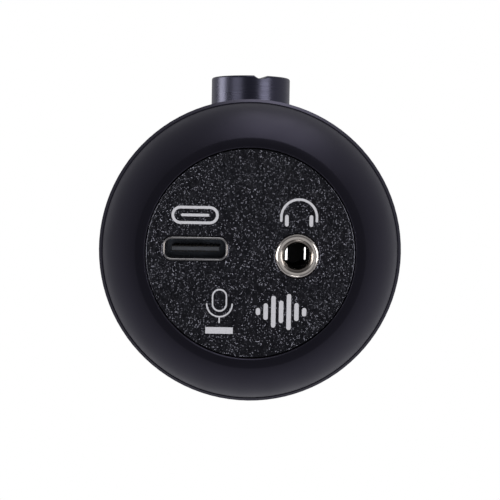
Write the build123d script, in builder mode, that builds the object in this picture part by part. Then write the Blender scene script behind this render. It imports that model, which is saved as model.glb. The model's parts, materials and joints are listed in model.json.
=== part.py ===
from build123d import *
import os
from math import cos, radians, sin

os.makedirs("parts", exist_ok=True)

# Upright desktop USB microphone. Millimetres, +Z up, origin on the barrel's axis in the
# plane of the bottom rim's crest. The volume knob faces -Y.

# ---- driving dimensions: housing ----
body_r = 21.5               # outer radius of the barrel
barrel_wall = 1.5
barrel_bore_r = body_r - barrel_wall
barrel_foot_z = 5.75
barrel_top_z = 94.0
overall_height = 162.0
edge_chamfer = 0.4

# ---- bottom rim and port panel ----
crest_r = (14.65, 15.75)    # flat crest that the microphone stands on
rim_arc_r = 9.5
rim_arc_center = (11.98, 8.72)
rim_arc_mid_angle = 49
rim_edge_r = 20.9
parting_z = 5.45
step_r = 20.4               # shoulder that carries the barrel
spigot_r = 19.95
spigot_top_z = 8.6
thread_r = 17.5
thread_gap = 0.05
flange_seat_z = 2.4
panel_r = 14.35
panel_hole_r = 14.5
panel_z = 0.3               # visible face of the panel, recessed from the crest
panel_plate = 2.3
panel_flange_r = (13.2, 17.2)
panel_top_z = 4.4

# ---- USB-C receptacle ----
usb_x = -7.58
usb_y = -0.57
usb_shell_size = (8.94, 3.26)
usb_shell_wall = 0.3
usb_corner_r = 1.25
usb_gap = 0.08
usb_cavity_size = (usb_shell_size[0] - 2 * usb_shell_wall, usb_shell_size[1] - 2 * usb_shell_wall)
usb_mouth_z = 0.15
usb_cavity_end_z = 6.55
usb_shell_top_z = 10.2
tongue_size = (6.69, 0.7)
tongue_tip_z = 0.9
tongue_chamfer = 0.12
contact_size = (0.25, 0.1)
contact_pitch = 0.5
contact_setback = 0.5       # from the tongue's tip
contacts_per_side = 12
moulding_corner_r = 0.5

# ---- headphone jack ----
jack_x = 6.43
jack_y = 0.23
jack_mouth_z = 0.05
jack_lip_fillet = 0.3
jack_bushing_r = 3.04
jack_bore_r = 1.8
jack_countersink_r = 2.35
jack_flange_r = 3.9
jack_housing_size = (9.0, 7.6)
jack_bore_end_z = 14.0
jack_contact_size = (1.0, 0.35, 8.4)
jack_contact_spacing = 4.6

# ---- chassis and boards ----
io_board_z = 14.6
io_board_thickness = 1.6
io_board_r = 18.4
chassis_bore_r = 13.0
chassis_flange_z = (9.2, 11.2)
chassis_r = 19.9
post_circle_r = 16.3
post_angles = (45, 135, 225, 315)
post_r = 2.2
post_hole_depth = 3.0
rail_x = (15.8, 18.6)
rail_y = (-3.4, 3.0)
rail_tab = (12.8, 18.0, 7.4)      # inner x, outer x and far y of the end tabs
rail_tab_thickness = 2.0
rail_screw_at = (15.0, 5.0)
rail_foot_hole_depth = 4.0
deck_z = (92.0, 94.0)
lead_slot_at = (0, 11.5)
lead_slot_size = (7.0, 3.0)
collar_screw_circle_r = 18.2
collar_screw_angles = (90, 210, 330)
capsule_post_screw_x = 6.5
main_board_x = 18.6
main_board_z = (20.0, 88.0)
main_board_front = 5.0            # distance of the component side in front of the axis
main_board_thickness = 1.6
main_board_back = main_board_front - main_board_thickness
board_screw_x = 17.0
board_screw_z = (26.0, 82.0)
board_screw_hole_depth = 4.0
rail_notch = (5.0, 7.4)           # opening in the lower board round each rail
rail_notch_inset = 0.6
socket_y = 2.0                    # centre of the lead socket behind the axis
socket_z = (80.0, 86.0)
socket_width = 8.0
socket_back_wall = 2.0
socket_chamfer = 0.6

# ---- board header ----
header_z = (20.5, 25.5)
header_depth = 2.5
header_pitch = 2.54
header_pin_count = 8
header_pin = 0.64
header_chamfer = 0.4

# ---- chips: centre (x, z), body (x, z), height, lead pitch, leads per level and upright edge ----
controller_chip_dims = ((-8.5, 34.0), (7.0, 7.0), 1.2, 0.65, 8, 8)
codec_chip_dims = ((0.0, 64.0), (5.3, 10.2), 1.6, 0.65, 0, 14)
headphone_amp_chip_dims = ((10.5, 33.0), (3.9, 4.9), 1.4, 1.27, 0, 4)
mic_amp_chip_dims = ((0.0, 78.0), (3.9, 4.9), 1.4, 1.27, 0, 4)
chip_lead = (0.3, 1.3, 0.5)
chip_lead_reach = 0.9
chip_standoff = 0.1
chip_chamfer = 0.15

# ---- other board parts ----
crystal_at = (-10.5, 56.0)
crystal_flange = (11.4, 4.8, 0.5)
crystal_body = (10.2, 3.7, 3.0)
can_points = [(-8.0, 32.0), (8.0, 32.0), (-8.0, 44.0), (8.0, 44.0), (0.0, 58.0), (0.0, 70.0)]
can_base = (6.6, 6.6, 0.8)
can_r = 3.15
can_height = 6.2
can_fillet = 0.4
chip_capacitor_size = (2.0, 1.25, 0.9)
chip_capacitor_pitch = 3.2
chip_capacitor_grid = (3, 5)
chip_capacitor_groups = ((9.0, 68.0), (-10.0, 72.0))

# ---- screws: head (radius, height), shank (radius, length) and hex recess radius ----
rail_screw = ((1.9, 1.3), (1.25, 5.5), 1.0)
io_board_screw = ((1.6, 1.1), (0.8, 4.0), 0.8)
main_board_screw = ((1.5, 1.1), (0.8, 5.0), 0.7)
post_screw = ((1.5, 1.1), (0.8, 4.0), 0.7)
collar_screw = ((1.45, 1.2), (0.85, 3.4), 0.7)
small_screw_clearance_r = 0.9
deck_screw_shank = (1.25, 5.5)
deck_screw_head = (2.0, 0.75)
deck_screw_slot = (2.4, 0.4)

# ---- volume control, measured forward (-Y) from the barrel's axis ----
knob_z = 45.0
knob_r = 6.8
knob_back = 22.2
knob_face = 27.75
knob_edge = 0.35
knob_bore_r = 5.2
knob_bore_end = 26.2
pointer_angle = 14.6              # from straight down towards +X
pointer_r = 1.3
pointer_depth = 0.55
stem_r = 4.1
stem_end = 15.6
stem_hole_r = 4.5
seat_r = 6.2
seat_face = 21.9
pot_size = (9.8, 11.4)
pot_split = 8.5
pot_front = 11.8
pot_bushing_r = 3.5
pot_bushing_end = 15.0
pot_cavity = (4.2, 2.3)           # radius and depth behind the split
track_r = (1.6, 4.1)
track_thickness = 0.3
wiper_r = 3.6
wiper_back = 1.6                  # behind the split
wiper_foot_at = (0, 2.8)
wiper_foot = (0.5, 0.3)
terminal_overhang = 0.8
terminal_thickness = 2.0
terminal_row = (1.0, 2.5, 3)      # width, pitch and count of the electrical terminals
tab_row = (1.6, 6.0, 2)           # the same for the mounting tabs
shaft_r = 3.0
shaft_gap = 0.05
shaft_start = 8.2
shaft_end = 19.5
shaft_flat = 1.5
shaft_chamfer = 0.4
core_recess = 0.4                 # the core sits this far inside the knob's back
core_fit = 0.02
core_socket_extra = 0.5
seat_saddle_margin = 1.0

# ---- head and capsule ----
collar_top_z = 98.5
collar_inner_r = 16.5
collar_fit = 0.05
collar_counterbore = (1.55, 1.6)
mesh_foot_z = 97.0
head_r = 20.8
mesh_thickness = 0.8
shoulder_r = 10.0
shoulder_angle = 75
crown_drop = (head_r - shoulder_r) / cos(radians(shoulder_angle))
crown_r = shoulder_r + crown_drop
crown_z = overall_height - crown_r
shoulder_z = crown_z + crown_drop * sin(radians(shoulder_angle))
band_z = (143.5, 147.5)
band_r = 21.3
band_web_z = (145.0, 146.0)
band_chamfer = 0.15
fine_mesh_insets = (0.9, 1.2)     # from the head's outer surface
foam_insets = (1.3, 3.3)
capsule_z = 128.0
capsule_r = 9.0
capsule_wall = 1.4
capsule_half = 3.0
capsule_back = 1.0                # thickness of the body's back wall
sound_holes = (5.5, 8, 0.8)       # circle radius, count and hole radius in the back wall
spacer_inner_r = 6.4
spacer_height = 3.0
backplate_clearance = 0.1
backplate_thickness = 1.2
backplate_rings = ((2.2, 6), (4.2, 12), (6.1, 18))
backplate_hole_r = 0.4
film_inset = 0.2
film_thickness = 0.1
clamp_inner_r = 7.2
clamp_thickness = 1.0
clamp_screw_circle = (8.2, 6)     # radius and count
clamp_screw_r = (0.4, 0.45, 0.5)  # shank, hole in the ring and hole in the film
clamp_screw_head = (0.7, 0.5)
cradle_wall = 2.0
cradle_foot = (12.0, 2.0)         # width and height under the ring
cradle_depth = 5.0
post_flange = (9.0, 2.0)
post_section = (8.0, 6.0, 2.0)    # width, depth and corner radius
lead_r = 0.5
lead_x = 1.5
lead_hole_gap = 0.2
lead_back_y = 11.5
lead_turn_z = 90.8
lead_bend_r = 2.2

# Planes that face forward (-Y): local x is +X, local y is +Z and offsets run forward.
front_plane = Plane(origin=(0, 0, 0), x_dir=(1, 0, 0), z_dir=(0, -1, 0))
knob_plane = Plane(origin=(0, 0, knob_z), x_dir=(1, 0, 0), z_dir=(0, -1, 0))
capsule_plane = Plane(origin=(0, 0, capsule_z), x_dir=(1, 0, 0), z_dir=(0, -1, 0))
back_plane = Plane(origin=(0, 0, 0), x_dir=(-1, 0, 0), z_dir=(0, 1, 0))


def pan_head_screws(face, points, head, shank, recess_r):
    """Screws whose heads (radius, height) stand on a plane and whose shanks run behind it."""
    along = Axis(face.origin, face.z_dir)
    with BuildPart() as group:
        with BuildSketch(face):
            with Locations(*points):
                Circle(head[0])
        extrude(amount=head[1])
        fillet(group.edges().filter_by(GeomType.CIRCLE).group_by(along)[-1], head[1] / 4)
        with BuildSketch(face):
            with Locations(*points):
                Circle(shank[0])
        extrude(amount=-shank[1])
        with BuildSketch(face.offset(head[1])):
            with Locations(*points):
                RegularPolygon(recess_r, 6)
        extrude(amount=-head[1] / 2, mode=Mode.SUBTRACT)
    return group


def tube(plane, outer_r, inner_r, height):
    """Plain ring standing on a plane."""
    with BuildPart() as ring:
        with BuildSketch(plane):
            Circle(outer_r)
            Circle(inner_r, mode=Mode.SUBTRACT)
        extrude(amount=height)
    return ring


def on_circle(radius, degrees):
    """Point on a circle about the origin of a sketch."""
    return (radius * cos(radians(degrees)), radius * sin(radians(degrees)))


# ================= lower housing =================

# Turned ring with a rounded outer rim; its inner thread pulls barrel and panel together.
rim_mid = (
    rim_arc_center[0] + rim_arc_r * sin(radians(rim_arc_mid_angle)),
    rim_arc_center[1] - rim_arc_r * cos(radians(rim_arc_mid_angle)),
)
with BuildPart() as base_ring:
    with BuildSketch(Plane.XZ):
        with BuildLine():
            Line((crest_r[0], 0), (crest_r[1], 0))
            ThreePointArc((crest_r[1], 0), rim_mid, (rim_edge_r, parting_z))
            Polyline(
                (rim_edge_r, parting_z),
                (step_r, parting_z),
                (step_r, barrel_foot_z),
                (spigot_r, barrel_foot_z),
                (spigot_r, spigot_top_z),
                (thread_r, spigot_top_z),
                (thread_r, flange_seat_z),
                (panel_hole_r, flange_seat_z),
                (panel_hole_r, crest_r[0] - panel_hole_r),
                (crest_r[0], 0),
            )
        make_face()
    revolve(axis=Axis.Z)
base_ring.part.label = "base_ring"
export_step(base_ring.part, "parts/base_ring.step")

# Moulded panel: a plate in the rim's recess with a clamped flange behind it.
with BuildPart() as port_panel:
    with BuildSketch(Plane.XY.offset(panel_z)):
        Circle(panel_r)
    extrude(amount=panel_plate)
    with BuildSketch(Plane.XY.offset(flange_seat_z)):
        Circle(panel_flange_r[1])
        Circle(panel_flange_r[0], mode=Mode.SUBTRACT)
    extrude(amount=panel_top_z - flange_seat_z)
    with BuildSketch(Plane.XY.offset(panel_z)):
        with Locations((usb_x, usb_y)):
            RectangleRounded(
                usb_shell_size[0] + 2 * usb_gap, usb_shell_size[1] + 2 * usb_gap, usb_corner_r + usb_gap
            )
        with Locations((jack_x, jack_y)):
            Circle(jack_bushing_r + usb_gap)
    extrude(amount=panel_plate, mode=Mode.SUBTRACT)
port_panel.part.label = "port_panel"
export_step(port_panel.part, "parts/port_panel.step")

# ================= USB-C receptacle =================

with BuildPart() as usb_c_shell:
    with BuildSketch(Plane.XY.offset(usb_mouth_z)):
        with Locations((usb_x, usb_y)):
            RectangleRounded(*usb_shell_size, usb_corner_r)
            RectangleRounded(*usb_cavity_size, usb_corner_r - usb_shell_wall, mode=Mode.SUBTRACT)
    extrude(amount=usb_shell_top_z - usb_mouth_z)
usb_c_shell.part.label = "usb_c_shell"
export_step(usb_c_shell.part, "parts/usb_c_shell.step")

with BuildPart() as usb_c_tongue:
    with BuildSketch(Plane.XY.offset(tongue_tip_z)):
        with Locations((usb_x, usb_y)):
            Rectangle(*tongue_size)
    extrude(amount=usb_cavity_end_z - tongue_tip_z)
    chamfer(usb_c_tongue.faces().sort_by(Axis.Z)[0].edges(), tongue_chamfer)
usb_c_tongue.part.label = "usb_c_tongue"
export_step(usb_c_tongue.part, "parts/usb_c_tongue.step")

contact_start_z = tongue_tip_z + contact_setback
with BuildPart() as usb_c_contacts:
    with BuildSketch(Plane.XY.offset(contact_start_z)):
        with Locations((usb_x, usb_y)):
            with GridLocations(contact_pitch, tongue_size[1] + contact_size[1], contacts_per_side, 2):
                Rectangle(*contact_size)
    extrude(amount=usb_cavity_end_z - contact_start_z)
usb_c_contacts.part.label = "usb_c_contacts"
export_step(usb_c_contacts.part, "parts/usb_c_contacts.step")

# Moulding that closes the shell and carries it above the board.
with BuildPart() as usb_c_housing:
    with BuildSketch(Plane.XY.offset(usb_cavity_end_z)):
        with Locations((usb_x, usb_y)):
            RectangleRounded(*usb_cavity_size, usb_corner_r - usb_shell_wall)
    extrude(amount=usb_shell_top_z - usb_cavity_end_z)
    with BuildSketch(Plane.XY.offset(usb_shell_top_z)):
        with Locations((usb_x, usb_y)):
            RectangleRounded(*usb_shell_size, moulding_corner_r)
    extrude(amount=io_board_z - usb_shell_top_z)
usb_c_housing.part.label = "usb_c_housing"
export_step(usb_c_housing.part, "parts/usb_c_housing.step")

# ================= headphone jack =================

jack_back_z = panel_z + panel_plate
jack_contact_row_gap = jack_housing_size[1] - jack_contact_size[1]
with BuildPart() as jack_bushing:
    with BuildSketch(Plane.XY.offset(jack_mouth_z)):
        with Locations((jack_x, jack_y)):
            Circle(jack_bushing_r)
    extrude(amount=jack_back_z - jack_mouth_z)
    fillet(jack_bushing.edges().group_by(Axis.Z)[0], jack_lip_fillet)
    with BuildSketch(Plane.XY.offset(jack_back_z)):
        with Locations((jack_x, jack_y)):
            Circle(jack_flange_r)
    extrude(amount=panel_top_z - jack_back_z)
    with BuildSketch(Plane.XY.offset(jack_mouth_z)):
        with Locations((jack_x, jack_y)):
            Circle(jack_bore_r)
    extrude(amount=panel_top_z - jack_mouth_z, mode=Mode.SUBTRACT)
    chamfer(
        jack_bushing.edges().filter_by(GeomType.CIRCLE).group_by(Axis.Z)[0].sort_by(SortBy.RADIUS)[0],
        jack_countersink_r - jack_bore_r,
    )
jack_bushing.part.label = "jack_bushing"
export_step(jack_bushing.part, "parts/jack_bushing.step")

# Body with four contact grooves down its outer faces, outside the plug's bore.
with BuildPart() as jack_housing:
    with BuildSketch(Plane.XY.offset(panel_top_z)):
        with Locations((jack_x, jack_y)):
            RectangleRounded(*jack_housing_size, moulding_corner_r)
            Circle(jack_bore_r, mode=Mode.SUBTRACT)
            with GridLocations(jack_contact_spacing, jack_contact_row_gap, 2, 2):
                Rectangle(*jack_contact_size[:2], mode=Mode.SUBTRACT)
    extrude(amount=jack_bore_end_z - panel_top_z)
    with BuildSketch(Plane.XY.offset(jack_bore_end_z)):
        with Locations((jack_x, jack_y)):
            RectangleRounded(*jack_housing_size, moulding_corner_r)
            with GridLocations(jack_contact_spacing, jack_contact_row_gap, 2, 2):
                Rectangle(*jack_contact_size[:2], mode=Mode.SUBTRACT)
    extrude(amount=io_board_z - jack_bore_end_z)
jack_housing.part.label = "jack_housing"
export_step(jack_housing.part, "parts/jack_housing.step")

with BuildPart() as jack_contacts:
    with BuildSketch(Plane.XY.offset(io_board_z - jack_contact_size[2])):
        with Locations((jack_x, jack_y)):
            with GridLocations(jack_contact_spacing, jack_contact_row_gap, 2, 2):
                Rectangle(*jack_contact_size[:2])
    extrude(amount=jack_contact_size[2])
jack_contacts.part.label = "jack_contacts"
export_step(jack_contacts.part, "parts/jack_contacts.step")

# ================= chassis =================

post_points = [on_circle(post_circle_r, angle) for angle in post_angles]
rail_screw_points = [rail_screw_at, (-rail_screw_at[0], rail_screw_at[1])]
with BuildPart() as chassis_base:
    with BuildSketch(Plane.XY.offset(panel_top_z)):
        Circle(thread_r - thread_gap)
    extrude(amount=chassis_flange_z[0] - panel_top_z)
    with BuildSketch(Plane.XY.offset(chassis_flange_z[0])):
        Circle(chassis_r)
    extrude(amount=chassis_flange_z[1] - chassis_flange_z[0])
    with BuildSketch(Plane.XY.offset(panel_top_z)):
        Circle(chassis_bore_r)
    extrude(amount=chassis_flange_z[1] - panel_top_z, mode=Mode.SUBTRACT)
    with BuildSketch(Plane.XY.offset(chassis_flange_z[1])):
        with Locations(*post_points):
            Circle(post_r)
    extrude(amount=io_board_z - chassis_flange_z[1])
    with BuildSketch(Plane.XY.offset(io_board_z)):
        with Locations(*post_points):
            Circle(io_board_screw[1][0])
    extrude(amount=-post_hole_depth, mode=Mode.SUBTRACT)
    with BuildSketch(Plane.XY.offset(chassis_flange_z[1])):
        with Locations(*rail_screw_points):
            Circle(rail_screw[1][0])
    extrude(amount=-rail_foot_hole_depth, mode=Mode.SUBTRACT)
chassis_base.part.label = "chassis_base"
export_step(chassis_base.part, "parts/chassis_base.step")


def rail(side):
    """Upright bar of the chassis with a screw tab at each end; side is +1 or -1 in X."""
    bar_center = (side * (rail_x[0] + rail_x[1]) / 2, (rail_y[0] + rail_y[1]) / 2)
    tab_center = (side * (rail_tab[0] + rail_tab[1]) / 2, (rail_y[1] + rail_tab[2]) / 2)
    tab_size = (rail_tab[1] - rail_tab[0], rail_tab[2] - rail_y[1])
    foot_z = chassis_flange_z[1]
    with BuildPart() as bar:
        with BuildSketch(Plane.XY.offset(foot_z)):
            with Locations(bar_center):
                Rectangle(rail_x[1] - rail_x[0], rail_y[1] - rail_y[0])
        extrude(amount=deck_z[0] - foot_z)
        for tab_z in (foot_z, deck_z[0] - rail_tab_thickness):
            with BuildSketch(Plane.XY.offset(tab_z)):
                with Locations(tab_center):
                    Rectangle(*tab_size)
            extrude(amount=rail_tab_thickness)
        with BuildSketch(Plane.XY.offset(foot_z)):
            with Locations((side * rail_screw_at[0], rail_screw_at[1])):
                Circle(rail_screw[1][0])
        extrude(amount=deck_z[0] - foot_z, mode=Mode.SUBTRACT)
        with BuildSketch(front_plane.offset(-rail_y[0])):
            with Locations(*[(side * board_screw_x, z) for z in board_screw_z]):
                Circle(main_board_screw[1][0])
        extrude(amount=-board_screw_hole_depth, mode=Mode.SUBTRACT)
    return bar


rail_left = rail(-1)
rail_left.part.label = "rail_left"
export_step(rail_left.part, "parts/rail_left.step")

rail_right = rail(1)
rail_right.part.label = "rail_right"
export_step(rail_right.part, "parts/rail_right.step")

rail_foot_screws = pan_head_screws(
    Plane.XY.offset(chassis_flange_z[1] + rail_tab_thickness), rail_screw_points, *rail_screw
)
rail_foot_screws.part.label = "rail_foot_screws"
export_step(rail_foot_screws.part, "parts/rail_foot_screws.step")

# Deck that closes the barrel's top, with countersunk screws into the rails.
collar_screw_points = [on_circle(collar_screw_circle_r, angle) for angle in collar_screw_angles]
capsule_post_points = [(-capsule_post_screw_x, 0), (capsule_post_screw_x, 0)]
with BuildPart() as chassis_deck:
    with BuildSketch(Plane.XY.offset(deck_z[0])):
        Circle(chassis_r)
        with Locations(lead_slot_at):
            SlotOverall(*lead_slot_size, mode=Mode.SUBTRACT)
        with Locations(*collar_screw_points):
            Circle(small_screw_clearance_r, mode=Mode.SUBTRACT)
        with Locations(*capsule_post_points):
            Circle(post_screw[1][0], mode=Mode.SUBTRACT)
    extrude(amount=deck_z[1] - deck_z[0])
    with Locations(*[(x, y, deck_z[1]) for x, y in rail_screw_points]):
        CounterSinkHole(radius=deck_screw_shank[0], counter_sink_radius=deck_screw_head[0])
chassis_deck.part.label = "chassis_deck"
export_step(chassis_deck.part, "parts/chassis_deck.step")

with BuildPart() as deck_screws:
    with BuildSketch(Plane.XY.offset(deck_z[1])):
        with Locations(*rail_screw_points):
            Circle(deck_screw_shank[0])
    extrude(amount=-deck_screw_shank[1])
    for x, y in rail_screw_points:
        with Locations((x, y, deck_z[1] - deck_screw_head[1] / 2)):
            Cone(bottom_radius=deck_screw_shank[0], top_radius=deck_screw_head[0], height=deck_screw_head[1])
        with Locations((x, y, deck_z[1] - deck_screw_slot[1] / 2)):
            Box(deck_screw_slot[0], deck_screw_slot[1], deck_screw_slot[1], mode=Mode.SUBTRACT)
deck_screws.part.label = "deck_screws"
export_step(deck_screws.part, "parts/deck_screws.step")

# ================= circuit boards =================

with BuildPart() as io_board:
    with BuildSketch(Plane.XY.offset(io_board_z)):
        Circle(io_board_r)
        for side in (-1, 1):
            with Locations((side * (rail_x[1] - rail_notch_inset), (rail_y[0] + rail_y[1]) / 2)):
                Rectangle(*rail_notch, mode=Mode.SUBTRACT)
        with Locations(*post_points):
            Circle(small_screw_clearance_r, mode=Mode.SUBTRACT)
    extrude(amount=io_board_thickness)
io_board.part.label = "io_board"
export_step(io_board.part, "parts/io_board.step")

io_board_screws = pan_head_screws(
    Plane.XY.offset(io_board_z + io_board_thickness), post_points, *io_board_screw
)
io_board_screws.part.label = "io_board_screws"
export_step(io_board_screws.part, "parts/io_board_screws.step")

main_board_mid_z = (main_board_z[0] + main_board_z[1]) / 2
board_screw_points = [(side * board_screw_x, z) for side in (-1, 1) for z in board_screw_z]
with BuildPart() as main_board:
    with BuildSketch(front_plane.offset(main_board_back)):
        with Locations((0, main_board_mid_z)):
            Rectangle(2 * main_board_x, main_board_z[1] - main_board_z[0])
        with Locations(*board_screw_points):
            Circle(small_screw_clearance_r, mode=Mode.SUBTRACT)
    extrude(amount=main_board_thickness)
main_board.part.label = "main_board"
export_step(main_board.part, "parts/main_board.step")

main_board_screws = pan_head_screws(
    front_plane.offset(main_board_front), board_screw_points, *main_board_screw
)
main_board_screws.part.label = "main_board_screws"
export_step(main_board_screws.part, "parts/main_board_screws.step")

# Header that joins the two boards at a right angle.
with BuildPart() as header_block:
    with BuildSketch(front_plane.offset(main_board_front)):
        with Locations((0, (header_z[0] + header_z[1]) / 2)):
            Rectangle(header_pitch * header_pin_count, header_z[1] - header_z[0])
    extrude(amount=header_depth)
    chamfer(header_block.edges().filter_by(Axis.Z), header_chamfer)
header_block.part.label = "header_block"
export_step(header_block.part, "parts/header_block.step")

header_foot_z = io_board_z + io_board_thickness
with BuildPart() as header_pins:
    with BuildSketch(Plane.XY.offset(header_foot_z)):
        with Locations((0, -main_board_front - header_depth / 2)):
            with GridLocations(header_pitch, 1, header_pin_count, 1):
                Rectangle(header_pin, header_pin)
    extrude(amount=header_z[0] - header_foot_z)
header_pins.part.label = "header_pins"
export_step(header_pins.part, "parts/header_pins.step")


def leaded_chip(center, size, height, pitch, columns, rows):
    """Moulded chip on the component side; columns and rows count the leads on its edges."""
    with BuildPart() as chip:
        with BuildSketch(front_plane.offset(main_board_front + chip_standoff)):
            with Locations(center):
                Rectangle(*size)
        extrude(amount=height)
        chamfer(chip.faces().sort_by(Axis.Y)[0].edges(), chip_chamfer)
        with BuildSketch(front_plane.offset(main_board_front)):
            with Locations(center):
                if columns:
                    with GridLocations(pitch, size[1] + chip_lead_reach, columns, 2):
                        Rectangle(chip_lead[0], chip_lead[1])
                if rows:
                    with GridLocations(size[0] + chip_lead_reach, pitch, 2, rows):
                        Rectangle(chip_lead[1], chip_lead[0])
        extrude(amount=chip_lead[2])
    return chip


controller_chip = leaded_chip(*controller_chip_dims)
controller_chip.part.label = "controller_chip"
export_step(controller_chip.part, "parts/controller_chip.step")

codec_chip = leaded_chip(*codec_chip_dims)
codec_chip.part.label = "codec_chip"
export_step(codec_chip.part, "parts/codec_chip.step")

headphone_amp_chip = leaded_chip(*headphone_amp_chip_dims)
headphone_amp_chip.part.label = "headphone_amp_chip"
export_step(headphone_amp_chip.part, "parts/headphone_amp_chip.step")

mic_amp_chip = leaded_chip(*mic_amp_chip_dims)
mic_amp_chip.part.label = "mic_amp_chip"
export_step(mic_amp_chip.part, "parts/mic_amp_chip.step")

with BuildPart() as crystal_can:
    with BuildSketch(front_plane.offset(main_board_front)):
        with Locations(crystal_at):
            SlotOverall(*crystal_flange[:2])
    extrude(amount=crystal_flange[2])
    with BuildSketch(front_plane.offset(main_board_front + crystal_flange[2])):
        with Locations(crystal_at):
            SlotOverall(*crystal_body[:2])
    extrude(amount=crystal_body[2])
    fillet(crystal_can.edges().group_by(Axis.Y)[0], can_fillet)
crystal_can.part.label = "crystal_can"
export_step(crystal_can.part, "parts/crystal_can.step")

# Can capacitors stand on the board's back.
board_back_plane = back_plane.offset(-main_board_back)
with BuildPart() as can_capacitors:
    with BuildSketch(board_back_plane):
        with Locations(*can_points):
            Rectangle(*can_base[:2])
    extrude(amount=can_base[2])
    with BuildSketch(board_back_plane):
        with Locations(*can_points):
            Circle(can_r)
    extrude(amount=can_height)
    fillet(can_capacitors.edges().filter_by(GeomType.CIRCLE).group_by(Axis.Y)[-1], can_fillet)
can_capacitors.part.label = "can_capacitors"
export_step(can_capacitors.part, "parts/can_capacitors.step")

with BuildPart() as chip_capacitors:
    with BuildSketch(front_plane.offset(main_board_front)):
        with Locations(*chip_capacitor_groups):
            with GridLocations(chip_capacitor_pitch, chip_capacitor_pitch, *chip_capacitor_grid):
                Rectangle(*chip_capacitor_size[:2])
    extrude(amount=chip_capacitor_size[2])
chip_capacitors.part.label = "chip_capacitors"
export_step(chip_capacitors.part, "parts/chip_capacitors.step")

# Socket at the board's top edge for the capsule's leads.
socket_back_y = socket_y + socket_back_wall
with BuildPart() as lead_socket:
    with BuildSketch(Plane.XY.offset(socket_z[0])):
        with Locations((0, (socket_back_y - main_board_back) / 2)):
            Rectangle(socket_width, socket_back_y + main_board_back)
    extrude(amount=socket_z[1] - socket_z[0])
    chamfer(lead_socket.edges().filter_by(Axis.Z).group_by(Axis.Y)[-1], socket_chamfer)
lead_socket.part.label = "lead_socket"
export_step(lead_socket.part, "parts/lead_socket.step")

# ================= barrel =================

with BuildPart() as barrel:
    with BuildSketch(Plane.XZ):
        with BuildLine():
            Polyline(
                (barrel_bore_r, barrel_foot_z),
                (body_r - edge_chamfer, barrel_foot_z),
                (body_r, barrel_foot_z + edge_chamfer),
                (body_r, barrel_top_z - edge_chamfer),
                (body_r - edge_chamfer, barrel_top_z),
                (barrel_bore_r, barrel_top_z),
                close=True,
            )
        make_face()
    revolve(axis=Axis.Z)
    with BuildSketch(knob_plane):
        Circle(stem_hole_r)
    extrude(amount=body_r + 1, mode=Mode.SUBTRACT)
barrel.part.label = "barrel"
export_step(barrel.part, "parts/barrel.step")

# ================= volume control =================

# Saddle ring that turns the round barrel into a flat seat behind the knob.
with BuildPart() as knob_seat:
    with BuildSketch(knob_plane.offset(barrel_bore_r)):
        Circle(seat_r)
        Circle(stem_hole_r, mode=Mode.SUBTRACT)
    extrude(amount=seat_face - barrel_bore_r)
    with BuildSketch(Plane.XY.offset(knob_z - seat_r - seat_saddle_margin)):
        Circle(body_r)
    extrude(amount=2 * (seat_r + seat_saddle_margin), mode=Mode.SUBTRACT)
knob_seat.part.label = "knob_seat"
export_step(knob_seat.part, "parts/knob_seat.step")

with BuildPart() as pot_base:
    with BuildSketch(knob_plane.offset(main_board_front)):
        Rectangle(*pot_size)
    extrude(amount=pot_split - main_board_front)
    with BuildSketch(knob_plane.offset(pot_split)):
        Circle(pot_cavity[0])
    extrude(amount=-pot_cavity[1], mode=Mode.SUBTRACT)
pot_base.part.label = "pot_base"
export_step(pot_base.part, "parts/pot_base.step")

pot_track = tube(knob_plane.offset(pot_split - pot_cavity[1]), track_r[1], track_r[0], track_thickness)
pot_track.part.label = "pot_track"
export_step(pot_track.part, "parts/pot_track.step")

with BuildPart() as pot_cover:
    with BuildSketch(knob_plane.offset(pot_split)):
        Rectangle(*pot_size)
    extrude(amount=pot_front - pot_split)
    with BuildSketch(knob_plane.offset(pot_front)):
        Circle(pot_bushing_r)
    extrude(amount=pot_bushing_end - pot_front)
    with BuildSketch(knob_plane.offset(pot_split)):
        Circle(shaft_r + shaft_gap)
    extrude(amount=pot_bushing_end - pot_split, mode=Mode.SUBTRACT)
pot_cover.part.label = "pot_cover"
export_step(pot_cover.part, "parts/pot_cover.step")

with BuildPart() as pot_terminals:
    with BuildSketch(knob_plane.offset(main_board_front)):
        for side, (width, pitch, count) in ((-1, terminal_row), (1, tab_row)):
            with Locations((0, side * (pot_size[1] + terminal_overhang) / 2)):
                with GridLocations(pitch, 1, count, 1):
                    Rectangle(width, terminal_overhang)
    extrude(amount=terminal_thickness)
pot_terminals.part.label = "pot_terminals"
export_step(pot_terminals.part, "parts/pot_terminals.step")

# Carrier with a raised wiper foot; it turns with the shaft.
with BuildPart() as pot_wiper:
    with BuildSketch(knob_plane.offset(pot_split - wiper_back)):
        Circle(wiper_r)
    extrude(amount=shaft_start - pot_split + wiper_back)
    with BuildSketch(knob_plane.offset(pot_split - wiper_back)):
        with Locations(wiper_foot_at):
            Circle(wiper_foot[0])
    extrude(amount=-wiper_foot[1])
pot_wiper.part.label = "pot_wiper"
export_step(pot_wiper.part, "parts/pot_wiper.step")

with BuildPart() as pot_shaft:
    with BuildSketch(knob_plane.offset(shaft_start)):
        Circle(shaft_r)
    extrude(amount=shaft_end - shaft_start)
    with BuildSketch(knob_plane.offset(stem_end)):
        with Locations((0, shaft_flat + shaft_r)):
            Rectangle(4 * shaft_r, 2 * shaft_r)
    extrude(amount=shaft_end - stem_end, mode=Mode.SUBTRACT)
    chamfer(pot_shaft.faces().sort_by(Axis.Y)[0].edges(), shaft_chamfer)
pot_shaft.part.label = "pot_shaft"
export_step(pot_shaft.part, "parts/pot_shaft.step")

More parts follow.
